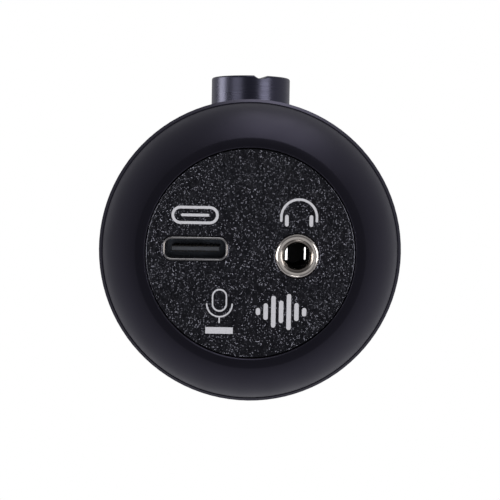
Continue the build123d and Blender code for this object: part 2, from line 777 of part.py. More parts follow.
# Turned cap with a pointer groove from the middle of its face out through its edge.
pointer_dir = Vector(sin(radians(pointer_angle)), 0, -cos(radians(pointer_angle)))
pointer_start = Vector(0, -(knob_face + pointer_r - pointer_depth), knob_z)
with BuildPart() as knob:
    with BuildSketch(knob_plane.offset(knob_back)):
        Circle(knob_r)
    extrude(amount=knob_face - knob_back)
    fillet(knob.edges().group_by(Axis.Y)[0], knob_edge)
    with BuildSketch(knob_plane.offset(knob_back)):
        Circle(knob_bore_r)
    extrude(amount=knob_bore_end - knob_back, mode=Mode.SUBTRACT)
    with BuildSketch(Plane(origin=pointer_start, z_dir=pointer_dir)):
        Circle(pointer_r)
    extrude(amount=knob_r + 1, mode=Mode.SUBTRACT)
knob.part.label = "knob"
export_step(knob.part, "parts/knob.step")

# Moulded core of the knob: its stem reaches through the barrel to the D-shaped shaft.
with BuildPart() as knob_core:
    with BuildSketch(knob_plane.offset(knob_back + core_recess)):
        Circle(knob_bore_r)
    extrude(amount=knob_bore_end - knob_back - core_recess)
    with BuildSketch(knob_plane.offset(stem_end)):
        Circle(stem_r)
    extrude(amount=knob_back + core_recess - stem_end)
    with BuildSketch(knob_plane.offset(stem_end)):
        Circle(shaft_r + core_fit)
        with Locations((0, shaft_flat + core_fit + shaft_r)):
            Rectangle(4 * shaft_r, 2 * shaft_r, mode=Mode.SUBTRACT)
    extrude(amount=shaft_end + core_socket_extra - stem_end, mode=Mode.SUBTRACT)
knob_core.part.label = "knob_core"
export_step(knob_core.part, "parts/knob_core.step")

# ================= head =================

with BuildPart() as grille_collar:
    with BuildSketch(Plane.XZ):
        with BuildLine():
            Polyline(
                (collar_inner_r, barrel_top_z),
                (body_r - edge_chamfer, barrel_top_z),
                (body_r, barrel_top_z + edge_chamfer),
                (body_r, collar_top_z - edge_chamfer),
                (body_r - edge_chamfer, collar_top_z),
                (head_r + collar_fit, collar_top_z),
                (head_r + collar_fit, mesh_foot_z),
                (collar_inner_r, mesh_foot_z),
                close=True,
            )
        make_face()
    revolve(axis=Axis.Z)
    with BuildSketch(Plane.XY.offset(barrel_top_z)):
        with Locations(*collar_screw_points):
            Circle(small_screw_clearance_r)
    extrude(amount=mesh_foot_z - barrel_top_z, mode=Mode.SUBTRACT)
    with BuildSketch(Plane.XY.offset(mesh_foot_z)):
        with Locations(*collar_screw_points):
            Circle(collar_counterbore[0])
    extrude(amount=-collar_counterbore[1], mode=Mode.SUBTRACT)
grille_collar.part.label = "grille_collar"
export_step(grille_collar.part, "parts/grille_collar.step")

collar_screws = pan_head_screws(
    Plane.XY.offset(mesh_foot_z - collar_counterbore[1]), collar_screw_points, *collar_screw
)
collar_screws.part.label = "collar_screws"
export_step(collar_screws.part, "parts/collar_screws.step")


def head_outline(inset, foot_z):
    """Half outline of the domed head inside the current line context, from foot_z to the axis."""
    Line((head_r - inset, foot_z), (head_r - inset, shoulder_z))
    CenterArc((head_r - shoulder_r, shoulder_z), shoulder_r - inset, 0, shoulder_angle)
    CenterArc((0, crown_z), crown_r - inset, shoulder_angle, 90 - shoulder_angle)


def head_shell(outer_inset, inner_inset, foot_z):
    """Closed shell of the head between two insets from its outer surface."""
    with BuildPart() as shell:
        with BuildSketch(Plane.XZ):
            with BuildLine():
                head_outline(outer_inset, foot_z)
                head_outline(inner_inset, foot_z)
                Line((head_r - outer_inset, foot_z), (head_r - inner_inset, foot_z))
                Line((0, overall_height - outer_inset), (0, overall_height - inner_inset))
            make_face()
        revolve(axis=Axis.Z)
    return shell


grille_side = tube(Plane.XY.offset(mesh_foot_z), head_r, head_r - mesh_thickness, band_web_z[0] - mesh_foot_z)
grille_side.part.label = "grille_side"
export_step(grille_side.part, "parts/grille_side.step")

grille_top = head_shell(0, mesh_thickness, band_web_z[1])
grille_top.part.label = "grille_top"
export_step(grille_top.part, "parts/grille_top.step")

# Band whose inner web parts the side mesh from the top mesh.
with BuildPart() as grille_band:
    with BuildSketch(Plane.XZ):
        with BuildLine():
            Polyline(
                (head_r, band_z[0]),
                (band_r - band_chamfer, band_z[0]),
                (band_r, band_z[0] + band_chamfer),
                (band_r, band_z[1] - band_chamfer),
                (band_r - band_chamfer, band_z[1]),
                (head_r, band_z[1]),
                (head_r, band_web_z[1]),
                (head_r - mesh_thickness, band_web_z[1]),
                (head_r - mesh_thickness, band_web_z[0]),
                (head_r, band_web_z[0]),
                close=True,
            )
        make_face()
    revolve(axis=Axis.Z)
grille_band.part.label = "grille_band"
export_step(grille_band.part, "parts/grille_band.step")

fine_mesh = head_shell(*fine_mesh_insets, mesh_foot_z)
fine_mesh.part.label = "fine_mesh"
export_step(fine_mesh.part, "parts/fine_mesh.step")

foam_liner = head_shell(*foam_insets, mesh_foot_z)
foam_liner.part.label = "foam_liner"
export_step(foam_liner.part, "parts/foam_liner.step")

# ================= capsule =================

cradle_r = capsule_r + cradle_wall
cradle_foot_z = capsule_z - cradle_r - cradle_foot[1]
with BuildPart() as capsule_post:
    with BuildSketch(Plane.XY.offset(deck_z[1])):
        Circle(post_flange[0])
        with Locations(*capsule_post_points):
            Circle(small_screw_clearance_r, mode=Mode.SUBTRACT)
    extrude(amount=post_flange[1])
    with BuildSketch(Plane.XY.offset(deck_z[1])):
        RectangleRounded(*post_section)
    extrude(amount=cradle_foot_z - deck_z[1])
capsule_post.part.label = "capsule_post"
export_step(capsule_post.part, "parts/capsule_post.step")

post_screws = pan_head_screws(
    Plane.XY.offset(deck_z[1] + post_flange[1]), capsule_post_points, *post_screw
)
post_screws.part.label = "post_screws"
export_step(post_screws.part, "parts/post_screws.step")

# Rubber ring with a foot that isolates the capsule from handling noise.
with BuildPart() as capsule_cradle:
    with BuildSketch(capsule_plane.offset(-cradle_depth / 2)):
        Circle(cradle_r)
        with Locations((0, -(cradle_r + cradle_foot[1]) / 2)):
            Rectangle(cradle_foot[0], cradle_r + cradle_foot[1])
        Circle(capsule_r, mode=Mode.SUBTRACT)
    extrude(amount=cradle_depth)
capsule_cradle.part.label = "capsule_cradle"
export_step(capsule_cradle.part, "parts/capsule_cradle.step")

with BuildPart() as capsule_body:
    with BuildSketch(capsule_plane.offset(-capsule_half)):
        Circle(capsule_r)
    extrude(amount=2 * capsule_half)
    with BuildSketch(capsule_plane.offset(capsule_half)):
        Circle(capsule_r - capsule_wall)
    extrude(amount=capsule_back - 2 * capsule_half, mode=Mode.SUBTRACT)
    with BuildSketch(capsule_plane.offset(-capsule_half)):
        with PolarLocations(*sound_holes[:2], start_angle=180 / sound_holes[1]):
            Circle(sound_holes[2])
        with Locations((-lead_x, 0), (lead_x, 0)):
            Circle(lead_r + lead_hole_gap)
    extrude(amount=capsule_back, mode=Mode.SUBTRACT)
capsule_body.part.label = "capsule_body"
export_step(capsule_body.part, "parts/capsule_body.step")

spacer_plane = capsule_plane.offset(capsule_back - capsule_half)
capsule_spacer = tube(spacer_plane, capsule_r - capsule_wall, spacer_inner_r, spacer_height)
capsule_spacer.part.label = "capsule_spacer"
export_step(capsule_spacer.part, "parts/capsule_spacer.step")

with BuildPart() as backplate:
    with BuildSketch(spacer_plane.offset(spacer_height)):
        Circle(capsule_r - capsule_wall - backplate_clearance)
        for ring_r, hole_count in backplate_rings:
            with PolarLocations(ring_r, hole_count):
                Circle(backplate_hole_r, mode=Mode.SUBTRACT)
    extrude(amount=backplate_thickness)
backplate.part.label = "backplate"
export_step(backplate.part, "parts/backplate.step")

with BuildPart() as diaphragm:
    with BuildSketch(capsule_plane.offset(capsule_half)):
        Circle(capsule_r - film_inset)
        with PolarLocations(*clamp_screw_circle):
            Circle(clamp_screw_r[2], mode=Mode.SUBTRACT)
    extrude(amount=film_thickness)
diaphragm.part.label = "diaphragm"
export_step(diaphragm.part, "parts/diaphragm.step")

clamp_plane = capsule_plane.offset(capsule_half + film_thickness)
with BuildPart() as clamp_ring:
    with BuildSketch(clamp_plane):
        Circle(capsule_r)
        Circle(clamp_inner_r, mode=Mode.SUBTRACT)
        with PolarLocations(*clamp_screw_circle):
            Circle(clamp_screw_r[1], mode=Mode.SUBTRACT)
    extrude(amount=clamp_thickness)
clamp_ring.part.label = "clamp_ring"
export_step(clamp_ring.part, "parts/clamp_ring.step")

with BuildPart() as capsule_screws:
    with BuildSketch(clamp_plane.offset(clamp_thickness)):
        with PolarLocations(*clamp_screw_circle):
            Circle(clamp_screw_head[0])
    extrude(amount=clamp_screw_head[1])
    with BuildSketch(clamp_plane.offset(clamp_thickness)):
        with PolarLocations(*clamp_screw_circle):
            Circle(clamp_screw_r[0])
    extrude(amount=-(clamp_thickness + film_thickness))
capsule_screws.part.label = "capsule_screws"
export_step(capsule_screws.part, "parts/capsule_screws.step")

# Two insulated leads from the capsule, down behind its post and through the deck.
with BuildPart() as capsule_leads:
    for x in (-lead_x, lead_x):
        with BuildLine():
            FilletPolyline(
                (x, capsule_half, capsule_z),
                (x, lead_back_y, capsule_z),
                (x, lead_back_y, lead_turn_z),
                (x, socket_y, lead_turn_z),
                (x, socket_y, socket_z[1]),
                radius=lead_bend_r,
            )
        with BuildSketch(Plane(origin=(x, capsule_half, capsule_z), z_dir=(0, 1, 0))):
            Circle(lead_r)
        sweep()
capsule_leads.part.label = "capsule_leads"
export_step(capsule_leads.part, "parts/capsule_leads.step")
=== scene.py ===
"""Looks for the desktop USB microphone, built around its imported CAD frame.

Metres, +Z up, knob towards -Y.
"""

import json
import math

import bmesh
import bpy
from mathutils import Matrix, Vector, noise
from mathutils.geometry import delaunay_2d_cdt

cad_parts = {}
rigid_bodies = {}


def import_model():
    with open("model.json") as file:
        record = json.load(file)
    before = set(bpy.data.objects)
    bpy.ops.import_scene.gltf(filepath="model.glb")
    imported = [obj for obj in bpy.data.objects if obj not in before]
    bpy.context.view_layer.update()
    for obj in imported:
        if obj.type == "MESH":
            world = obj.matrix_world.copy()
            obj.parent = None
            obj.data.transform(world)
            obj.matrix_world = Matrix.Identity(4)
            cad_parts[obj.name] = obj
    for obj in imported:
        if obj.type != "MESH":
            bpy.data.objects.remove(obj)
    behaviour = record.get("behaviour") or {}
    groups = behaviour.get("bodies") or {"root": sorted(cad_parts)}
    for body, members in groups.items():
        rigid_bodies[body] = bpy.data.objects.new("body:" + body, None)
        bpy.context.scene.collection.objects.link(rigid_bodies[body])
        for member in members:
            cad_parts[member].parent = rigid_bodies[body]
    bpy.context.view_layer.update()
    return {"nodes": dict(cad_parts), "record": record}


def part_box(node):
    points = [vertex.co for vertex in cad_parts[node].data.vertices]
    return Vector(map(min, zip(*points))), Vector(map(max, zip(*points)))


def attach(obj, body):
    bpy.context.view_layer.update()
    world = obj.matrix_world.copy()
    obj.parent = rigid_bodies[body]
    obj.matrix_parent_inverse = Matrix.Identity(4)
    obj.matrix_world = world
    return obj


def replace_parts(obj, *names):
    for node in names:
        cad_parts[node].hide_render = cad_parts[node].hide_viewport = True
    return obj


MM = 0.001
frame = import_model()

# ---------------------------------------------------------------- places, read from the frame

ring_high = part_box("base_ring")[1]
panel_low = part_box("port_panel")[0]
barrel_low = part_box("barrel")[0]
usb_low, usb_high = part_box("usb_c_shell")
bushing_low, bushing_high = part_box("jack_bushing")
side_low, side_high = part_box("grille_side")
top_low, top_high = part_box("grille_top")

PANEL_Z = panel_low.z
USB_CENTER = Vector(((usb_low.x + usb_high.x) / 2, (usb_low.y + usb_high.y) / 2))
JACK_CENTER = Vector(((bushing_low.x + bushing_high.x) / 2, (bushing_low.y + bushing_high.y) / 2))
HEAD_R = side_high.x

# Sizes that two or more pieces share.
PLATE_TOP = 2.6 * MM                    # back of the port panel's plate
FLANGE_Z = 2.4 * MM                     # where the ring's seat meets the panel's flange
BUSHING_R = 3.04 * MM
BORE_R = 1.8 * MM
LIP_CREST_R, CONE_R, CONE_DEPTH = 2.62 * MM, 2.30 * MM, 0.36 * MM
SHELL_CORNER_R = 1.25 * MM
WEAVE_INSET = 0.4 * MM                  # from the head's outside to the middle of its wires


# ---------------------------------------------------------------- camera

def make_camera():
    """Camera under the microphone, looking almost straight up its axis at the port panel."""
    sensor_mm, lens_mm = 36, 82.8
    distance = 157.85 * MM
    aim = Vector((0.00035, -0.00326, -1)) * distance    # the panel's centre, seen from the camera
    tilt, lean, roll = math.radians(3.5), math.radians(0.5), math.radians(0.9)
    facing_up = Matrix(((1, 0, 0), (0, -1, 0), (0, 0, -1)))
    turn = (
        facing_up
        @ Matrix.Rotation(-tilt, 3, "X")
        @ Matrix.Rotation(-lean, 3, "Y")
        @ Matrix.Rotation(roll, 3, "Z")
    )
    data = bpy.data.cameras.new("camera")
    data.sensor_width = sensor_mm
    data.lens = lens_mm
    data.clip_start, data.clip_end = 0.005, 20
    camera = bpy.data.objects.new("camera", data)
    camera.matrix_world = Matrix.Translation(Vector((0, 0, PANEL_Z)) - turn @ aim) @ turn.to_4x4()
    bpy.context.scene.collection.objects.link(camera)
    bpy.context.scene.camera = camera


make_camera()


# ---------------------------------------------------------------- material helpers

class Finish:
    """A node material on the object's own coordinates, with helpers for grain and bump."""

    def __init__(self, name, color, roughness, metallic=0.0, specular=0.5):
        self.material = bpy.data.materials.new(name)
        self.material.use_nodes = True
        self.nodes = self.material.node_tree.nodes
        self.links = self.material.node_tree.links
        self.shader = self.nodes["Principled BSDF"]
        self.color = color
        self.shader.inputs["Base Color"].default_value = (*color, 1)
        self.shader.inputs["Roughness"].default_value = roughness
        self.shader.inputs["Metallic"].default_value = metallic
        self.shader.inputs["Specular IOR Level"].default_value = specular
        self.coords = self.nodes.new("ShaderNodeTexCoord")
        self.last_bump = None

    def mapped(self, scale=(1, 1, 1)):
        """Object coordinates in millimetres, stretched by scale."""
        mapping = self.nodes.new("ShaderNodeMapping")
        mapping.inputs["Scale"].default_value = [s / MM for s in scale]
        self.links.new(self.coords.outputs["Object"], mapping.inputs["Vector"])
        return mapping.outputs["Vector"]

    def noise(self, size_mm, detail, stretch=(1, 1, 1)):
        """Noise with features about size_mm across."""
        node = self.nodes.new("ShaderNodeTexNoise")
        node.inputs["Scale"].default_value = 1 / size_mm
        node.inputs["Detail"].default_value = detail
        self.links.new(self.mapped(stretch), node.inputs["Vector"])
        return node.outputs["Fac"]

    def voronoi(self, size_mm):
        """A Voronoi texture node with cells about size_mm across."""
        node = self.nodes.new("ShaderNodeTexVoronoi")
        node.inputs["Scale"].default_value = 1 / size_mm
        self.links.new(self.mapped(), node.inputs["Vector"])
        return node

    def cells(self, size_mm):
        """Distance from the middle of each cell."""
        return self.voronoi(size_mm).outputs["Distance"]

    def remap(self, value, low, high, to_low, to_high):
        """A value's range moved to another range, clamped."""
        node = self.nodes.new("ShaderNodeMapRange")
        for socket, number in zip(node.inputs[1:5], (low, high, to_low, to_high)):
            socket.default_value = number
        self.links.new(value, node.inputs["Value"])
        return node.outputs["Result"]

    def math(self, operation, a, b):
        """Arithmetic on two values, each a number or another node's output."""
        node = self.nodes.new("ShaderNodeMath")
        node.operation = operation
        for socket, term in zip(node.inputs, (a, b)):
            if isinstance(term, (int, float)):
                socket.default_value = term
            else:
                self.links.new(term, socket)
        return node.outputs["Value"]

    def bump(self, height, depth_mm):
        """Adds a bump of that depth on top of the earlier ones."""
        node = self.nodes.new("ShaderNodeBump")
        node.inputs["Strength"].default_value = 1
        node.inputs["Distance"].default_value = depth_mm * MM
        self.links.new(height, node.inputs["Height"])
        if self.last_bump:
            self.links.new(self.last_bump, node.inputs["Normal"])
        self.last_bump = node.outputs["Normal"]
        self.links.new(self.last_bump, self.shader.inputs["Normal"])

    def tint(self, factor, other):
        """Blends the base colour towards another colour where factor is high."""
        mix = self.nodes.new("ShaderNodeMix")
        mix.data_type = "RGBA"
        socket = self.shader.inputs["Base Color"]
        if socket.is_linked:
            self.links.new(socket.links[0].from_socket, mix.inputs["A"])
        else:
            mix.inputs["A"].default_value = (*self.color, 1)
        mix.inputs["B"].default_value = (*other, 1)
        self.links.new(factor, mix.inputs["Factor"])
        self.links.new(mix.outputs["Result"], socket)

    def rough_from(self, value, low, high):
        """Roughness between low and high, following noise whose values lie mostly in its middle."""
        self.links.new(self.remap(value, 0.3, 0.7, low, high), self.shader.inputs["Roughness"])

    def facets(self, spacing_mm, size_mm, lean, scatter):
        """Scattered round facets size_mm across, each leaning its own way, by up to lean."""
        node = self.voronoi(spacing_mm)
        node.inputs["Randomness"].default_value = scatter
        on_facet = self.math("LESS_THAN", node.outputs["Distance"], size_mm / spacing_mm / 2)
        parts = self.nodes.new("ShaderNodeSeparateXYZ")
        self.links.new(node.outputs["Color"], parts.inputs["Vector"])
        tilt = self.nodes.new("ShaderNodeCombineXYZ")
        for axis, most in zip(("X", "Y"), lean):
            signed = self.remap(parts.outputs[axis], 0, 1, -most, most)
            self.links.new(self.math("MULTIPLY", signed, on_facet), tilt.inputs[axis])
        surface = self.nodes.new("ShaderNodeNewGeometry")
        added = self.nodes.new("ShaderNodeVectorMath")
        self.links.new(surface.outputs["Normal"], added.inputs[0])
        self.links.new(tilt.outputs["Vector"], added.inputs[1])
        unit = self.nodes.new("ShaderNodeVectorMath")
        unit.operation = "NORMALIZE"
        self.links.new(added.outputs["Vector"], unit.inputs[0])
        self.last_bump = unit.outputs["Vector"]
        self.links.new(self.last_bump, self.shader.inputs["Normal"])


def scaled(color, share):
    """A colour made darker or lighter by a share."""
    return tuple(c * share for c in color)


# How noise is stretched: into lines that run along an axis, or not at all.
ALONG_Z, ALONG_Y, EVEN = (1, 1, 0.05), (1, 0.05, 1), (1, 1, 1)


def satin_black(name, color=(0.006, 0.006, 0.0082), roughness=0.40):
    """Fine bead-blasted black anodising with faint handling marks."""
    finish = Finish(name, color, roughness, specular=0.74)
    finish.shader.inputs["Specular Tint"].default_value = (0.74, 0.69, 1, 1)
    marks = finish.noise(9, 3)
    finish.tint(finish.remap(marks, 0.45, 0.75, 0, 0.35), scaled(color, 1.5))
    finish.rough_from(finish.noise(3.5, 4), roughness - 0.03, roughness + 0.04)
    finish.bump(finish.noise(0.09, 2), 0.004)
    return finish.material


def moulded_black(name, color=(0.011, 0.011, 0.012), roughness=0.5):
    """Moulded black plastic with a fine matt skin."""
    finish = Finish(name, color, roughness)
    finish.rough_from(finish.noise(1.8, 3), roughness - 0.06, roughness + 0.08)
    finish.bump(finish.noise(0.16, 3), 0.006)
    return finish.material


def grained_panel():
    """Coarse spark-eroded plastic: sharp little facets that catch the light over a dark ground."""
    finish = Finish("panel_grain", (0.0005, 0.0005, 0.0007), 0.22, specular=0.22)
    finish.shader.inputs["Specular Tint"].default_value = (0.84, 0.84, 1, 1)
    finish.facets(spacing_mm=0.17, size_mm=0.115, lean=(0.49, 0.26), scatter=0.7)
    finish.bump(finish.noise(0.15, 2), 0.003)
    finish.rough_from(finish.noise(0.6, 2), 0.18, 0.28)
    return finish.material


def print_ink():
    """Pale screen-printed ink, slightly uneven over the grain."""
    finish = Finish("print_ink", (0.60, 0.595, 0.63), 0.55)
    thin = finish.noise(0.22, 3)
    finish.tint(finish.remap(thin, 0.55, 0.75, 0, 0.5), (0.34, 0.335, 0.36))
    finish.bump(finish.noise(0.25, 2), 0.02)
    return finish.material


def metal(name, color, roughness, stretch=EVEN, size_mm=0.4, depth_mm=0.002):
    """Plated or bare metal with drawn or turned lines along the stretched axis."""
    finish = Finish(name, color, roughness, metallic=1.0)
    lines = finish.noise(size_mm, 3, stretch)
    finish.rough_from(lines, roughness - 0.05, roughness + 0.08)
    finish.tint(finish.remap(finish.noise(1.6, 3), 0.45, 0.8, 0, 0.25), scaled(color, 0.62))
    finish.bump(lines, depth_mm)
    return finish.material


def turned_knob():
    """Glossy blue-black anodised aluminium, turned about the knob's axis."""
    finish = Finish("knob_anodised", (0.009, 0.009, 0.017), 0.29, specular=0.82)
    finish.shader.inputs["Specular Tint"].default_value = (0.72, 0.71, 1, 1)
    rings = finish.noise(0.22, 2, (0.02, 1, 0.02))
    finish.rough_from(rings, 0.25, 0.32)
    finish.bump(rings, 0.0006)
    finish.tint(finish.remap(finish.noise(4, 2), 0.4, 0.7, 0, 0.3), (0.008, 0.008, 0.013))
    return finish.material


def circuit_board():
    """Green solder mask over faint copper tracks."""
    finish = Finish("circuit_board", (0.012, 0.075, 0.035), 0.30)
    tracks = finish.nodes.new("ShaderNodeTexBrick")
    tracks.inputs["Scale"].default_value = 0.16
    tracks.inputs["Mortar Size"].default_value = 0.05
    finish.links.new(finish.mapped(), tracks.inputs["Vector"])
    finish.tint(finish.remap(tracks.outputs["Fac"], 0, 1, 0, 0.55), (0.03, 0.16, 0.06))
    finish.bump(tracks.outputs["Fac"], 0.02)
    finish.rough_from(finish.noise(2.5, 2), 0.25, 0.38)
    return finish.material


def foam():
    """Open-cell black foam."""
    finish = Finish("liner_foam", (0.016, 0.016, 0.017), 0.95)
    pores = finish.cells(0.55)
    finish.bump(pores, 0.35)
    finish.tint(finish.remap(pores, 0.1, 0.6, 0, 1), (0.006, 0.006, 0.006))
    return finish.material


def fine_screen():
    """Fine woven screen seen through the grille's wires."""
    finish = Finish("fine_screen", (0.020, 0.020, 0.022), 0.45, metallic=0.6)
    weave = finish.cells(0.32)
    finish.tint(finish.remap(weave, 0.2, 0.5, 0, 1), (0.004, 0.004, 0.004))
    finish.bump(weave, 0.08)
    return finish.material


def chip_resin():
    """Matt epoxy of the chips' packages."""
    finish = Finish("chip_resin", (0.018, 0.018, 0.018), 0.6)
    finish.bump(finish.noise(0.12, 3), 0.01)
    finish.rough_from(finish.noise(1.2, 2), 0.5, 0.7)
    return finish.material


def rubber():
    """Dull black rubber of the capsule's cradle."""
    finish = Finish("cradle_rubber", (0.014, 0.014, 0.014), 0.8, specular=0.3)
    finish.bump(finish.noise(0.2, 3), 0.015)
    finish.rough_from(finish.noise(2.5, 2), 0.7, 0.88)
    return finish.material


def glossy(name, color, roughness):
    """Smooth moulded, fired or sputtered skin."""
    finish = Finish(name, color, roughness)
    finish.rough_from(finish.noise(1.1, 2), roughness - 0.05, roughness + 0.1)
    finish.tint(finish.remap(finish.noise(0.8, 3), 0.45, 0.75, 0, 0.3), scaled(color, 0.7))
    finish.bump(finish.noise(0.3, 2), 0.004)
    return finish.material


satin = satin_black("satin_black")
grain = grained_panel()
ink = print_ink()
nickel = metal("polished_nickel", (0.80, 0.745, 0.70), 0.13, ALONG_Z, 0.3)
# Darker copy of the nickel, used only in the jack's mouth: painted shade in the recess.
dull_nickel = metal("dull_nickel", (0.30, 0.27, 0.245), 0.18, ALONG_Z, 0.3)
lip_steel = metal("lip_steel", (0.42, 0.41, 0.42), 0.2, ALONG_Z, 0.3)
steel = metal("drawn_steel", (0.78, 0.77, 0.77), 0.16, ALONG_Z, 0.3)
wire_paint = satin_black("wire_paint", (0.020, 0.020, 0.022), 0.36)

SLOT_FINISH = {
    "black_anodised": satin,
    "knob_metal": turned_knob(),
    "panel_plastic": grain,
    "black_plastic": moulded_black("moulded_black"),
    "stainless": steel,
    "gold_contacts": metal("gold_plate", (0.86, 0.62, 0.27), 0.2, (1, 1, 0.1), 0.2),
    "nickel": nickel,
    "zinc_casting": metal("zinc_casting", (0.50, 0.50, 0.52), 0.42, EVEN, 0.5, 0.012),
    "zinc_screws": metal("zinc_plate", (0.66, 0.67, 0.70), 0.25, EVEN, 0.3, 0.004),
    "circuit_board": circuit_board(),
    "chip_resin": chip_resin(),
    "ceramic_parts": glossy("fired_ceramic", (0.38, 0.28, 0.18), 0.4),
    "capacitor_cans": metal("capacitor_can", (0.78, 0.78, 0.80), 0.18, ALONG_Y, 0.3),
    "carbon_track": glossy("carbon_track", (0.02, 0.018, 0.018), 0.5),
    "black_mesh": wire_paint,
    "fine_wire": fine_screen(),
    "foam": foam(),
    "cradle_rubber": rubber(),
    "capsule_brass": metal("capsule_brass", (0.78, 0.58, 0.28), 0.22, ALONG_Y, 0.3),
    "diaphragm_film": metal("diaphragm_film", (0.90, 0.72, 0.36), 0.12, EVEN, 1.2, 0.001),
    "lead_insulation": glossy("lead_insulation", (0.22, 0.012, 0.012), 0.35),
}

for entry in frame["record"]["subparts"]:
    mesh = frame["nodes"][entry["node"]].data
    mesh.materials.clear()
    mesh.materials.append(SLOT_FINISH[entry["material_slot"]])
# The socket's gold contacts darkened nearly to black: painted shade for the inside of the socket.
tarnished_gold = metal("tarnished_gold", (0.09, 0.07, 0.045), 0.35)
frame["nodes"]["usb_c_contacts"].data.materials[0] = tarnished_gold


# ---------------------------------------------------------------- mesh helpers

def add_piece(name, vertices, faces, material, slot, body="root", flat=False):
    """Makes a mesh piece that rides on a body and takes the given finish; its slot is not used."""
    mesh = bpy.data.meshes.new(name)
    mesh.from_pydata(vertices, [], faces)
    mesh.validate()
    if not flat:
        mesh.shade_smooth()
    mesh.materials.append(material)
    piece = bpy.data.objects.new(name, mesh)
    bpy.context.scene.collection.objects.link(piece)
    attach(piece, body)
    return piece


def fix_normals(piece):
    """Turns every face of a closed mesh outwards."""
    work = bmesh.new()
    work.from_mesh(piece.data)
    bmesh.ops.recalc_face_normals(work, faces=work.faces)
    work.to_mesh(piece.data)
    work.free()
    return piece


def arc(center, radius, start, end, steps):
    """Points of a plane arc, in degrees."""
    angles = [math.radians(start + (end - start) * i / steps) for i in range(steps + 1)]
    return [(center[0] + radius * math.cos(a), center[1] + radius * math.sin(a)) for a in angles]


def revolve(profile, segments, center=(0, 0)):
    """Vertices and quads of a closed (radius, z) profile turned about a vertical axis."""
    count = len(profile)
    vertices = []
    for i in range(segments):
        angle = 2 * math.pi * i / segments
        across, up = math.cos(angle), math.sin(angle)
        vertices += [(center[0] + r * across, center[1] + r * up, z) for r, z in profile]
    faces = []
    for i in range(segments):
        a, b = i * count, (i + 1) % segments * count
        for k in range(count):
            n = (k + 1) % count
            faces.append((a + k, b + k, b + n, a + n))
    return vertices, faces


CAP_STEPS = 8


def stroke(points, width, low_z, high_z, closed=False):
    """A closed slab that follows a plane line, with round ends unless the line is a loop."""
    half = width / 2
    count = len(points)
    sides = []
    for i, point in enumerate(points):
        before = points[i - 1] if i or closed else point
        after = points[(i + 1) % count] if i < count - 1 or closed else point
        along = (Vector(after) - Vector(before)).normalized()
        sides.append((Vector(point), along, Vector((-along.y, along.x))))
    left = [p + n * half for p, _, n in sides]
    right = [p - n * half for p, _, n in sides]
    if closed:
        return loop_stack([(left, low_z), (left, high_z), (right, high_z), (right, low_z)])
    outline = list(left)
    for (p, along, n), sign in ((sides[-1], 1), (sides[0], -1)):
        for k in range(1, CAP_STEPS):
            angle = math.pi * k / CAP_STEPS
            outline.append(p + sign * (n * math.cos(angle) + along * math.sin(angle)) * half)
        if sign == 1:
            outline += right[::-1]
    return outline_slab(outline, low_z, high_z)


def outline_slab(outline, low_z, high_z):
    """A closed slab with a plane outline, triangulated so that bent outlines stay true."""
    count = len(outline)
    flat, triangles = triangulated(
        [Vector(p) for p in outline], [(i, (i + 1) % count) for i in range(count)]
    )
    vertices = [(p.x, p.y, low_z) for p in flat] + [(p.x, p.y, high_z) for p in flat]
    faces = [tuple(t) for t in triangles]
    faces += [tuple(i + count for i in reversed(t)) for t in triangles]
    edges = dict.fromkeys(edge for t in triangles for edge in zip(t, (*t[1:], t[0])))
    faces += [(b, a, a + count, b + count) for a, b in edges if (b, a) not in edges]
    return vertices, faces


def triangulated(points, edges):
    """The points and the triangles of a plane outline, none of its points merged or added."""
    flat, _, triangles, _, _, _ = delaunay_2d_cdt(points, edges, [], 1, 1e-9)
    assert len(flat) == len(points)
    return flat, triangles


def loop_stack(loops):
    """Closed wall through matching loops of (points, z), the last joined back to the first."""
    count = len(loops[0][0])
    vertices = [(p[0], p[1], z) for points, z in loops for p in points]
    faces = []
    for k in range(len(loops)):
        a, b = k * count, (k + 1) % len(loops) * count
        faces += [(a + i, a + (i + 1) % count, b + (i + 1) % count, b + i) for i in range(count)]
    return vertices, faces


def merged(parts):
    """Several (vertices, faces) joined into one."""
    vertices, faces = [], []
    for part_vertices, part_faces in parts:
        start = len(vertices)
        vertices += part_vertices
        faces += [tuple(i + start for i in face) for face in part_faces]
    return vertices, faces


def corner_arcs(center, size, corner_r, inset, steps):
    """Points round a rounded rectangle, on its corners only, set in from it by inset."""
    points = []
    for index, (sx, sy) in enumerate(((1, 1), (-1, 1), (-1, -1), (1, -1))):
        middle = (
            center[0] + sx * (size[0] / 2 - corner_r),
            center[1] + sy * (size[1] / 2 - corner_r),
        )
        points += arc(middle, corner_r - inset, 90 * index, 90 * index + 90, steps)
    return points


def rounded(corners, sizes):
    """A closed profile with each corner eased by the size given for it, 0 for a sharp one."""
    steps = 6
    points = []
    for i, (corner, size) in enumerate(zip(corners, sizes)):
        here = Vector(corner)
        if not size:
            points.append(tuple(here))
            continue
        back = (Vector(corners[i - 1]) - here).normalized() * size
        ahead = (Vector(corners[(i + 1) % len(corners)]) - here).normalized() * size
        for k in range(steps + 1):
            t = k / steps
            points.append(tuple(here + back * (1 - t) ** 2 + ahead * t ** 2))
    return points


# ---------------------------------------------------------------- base ring

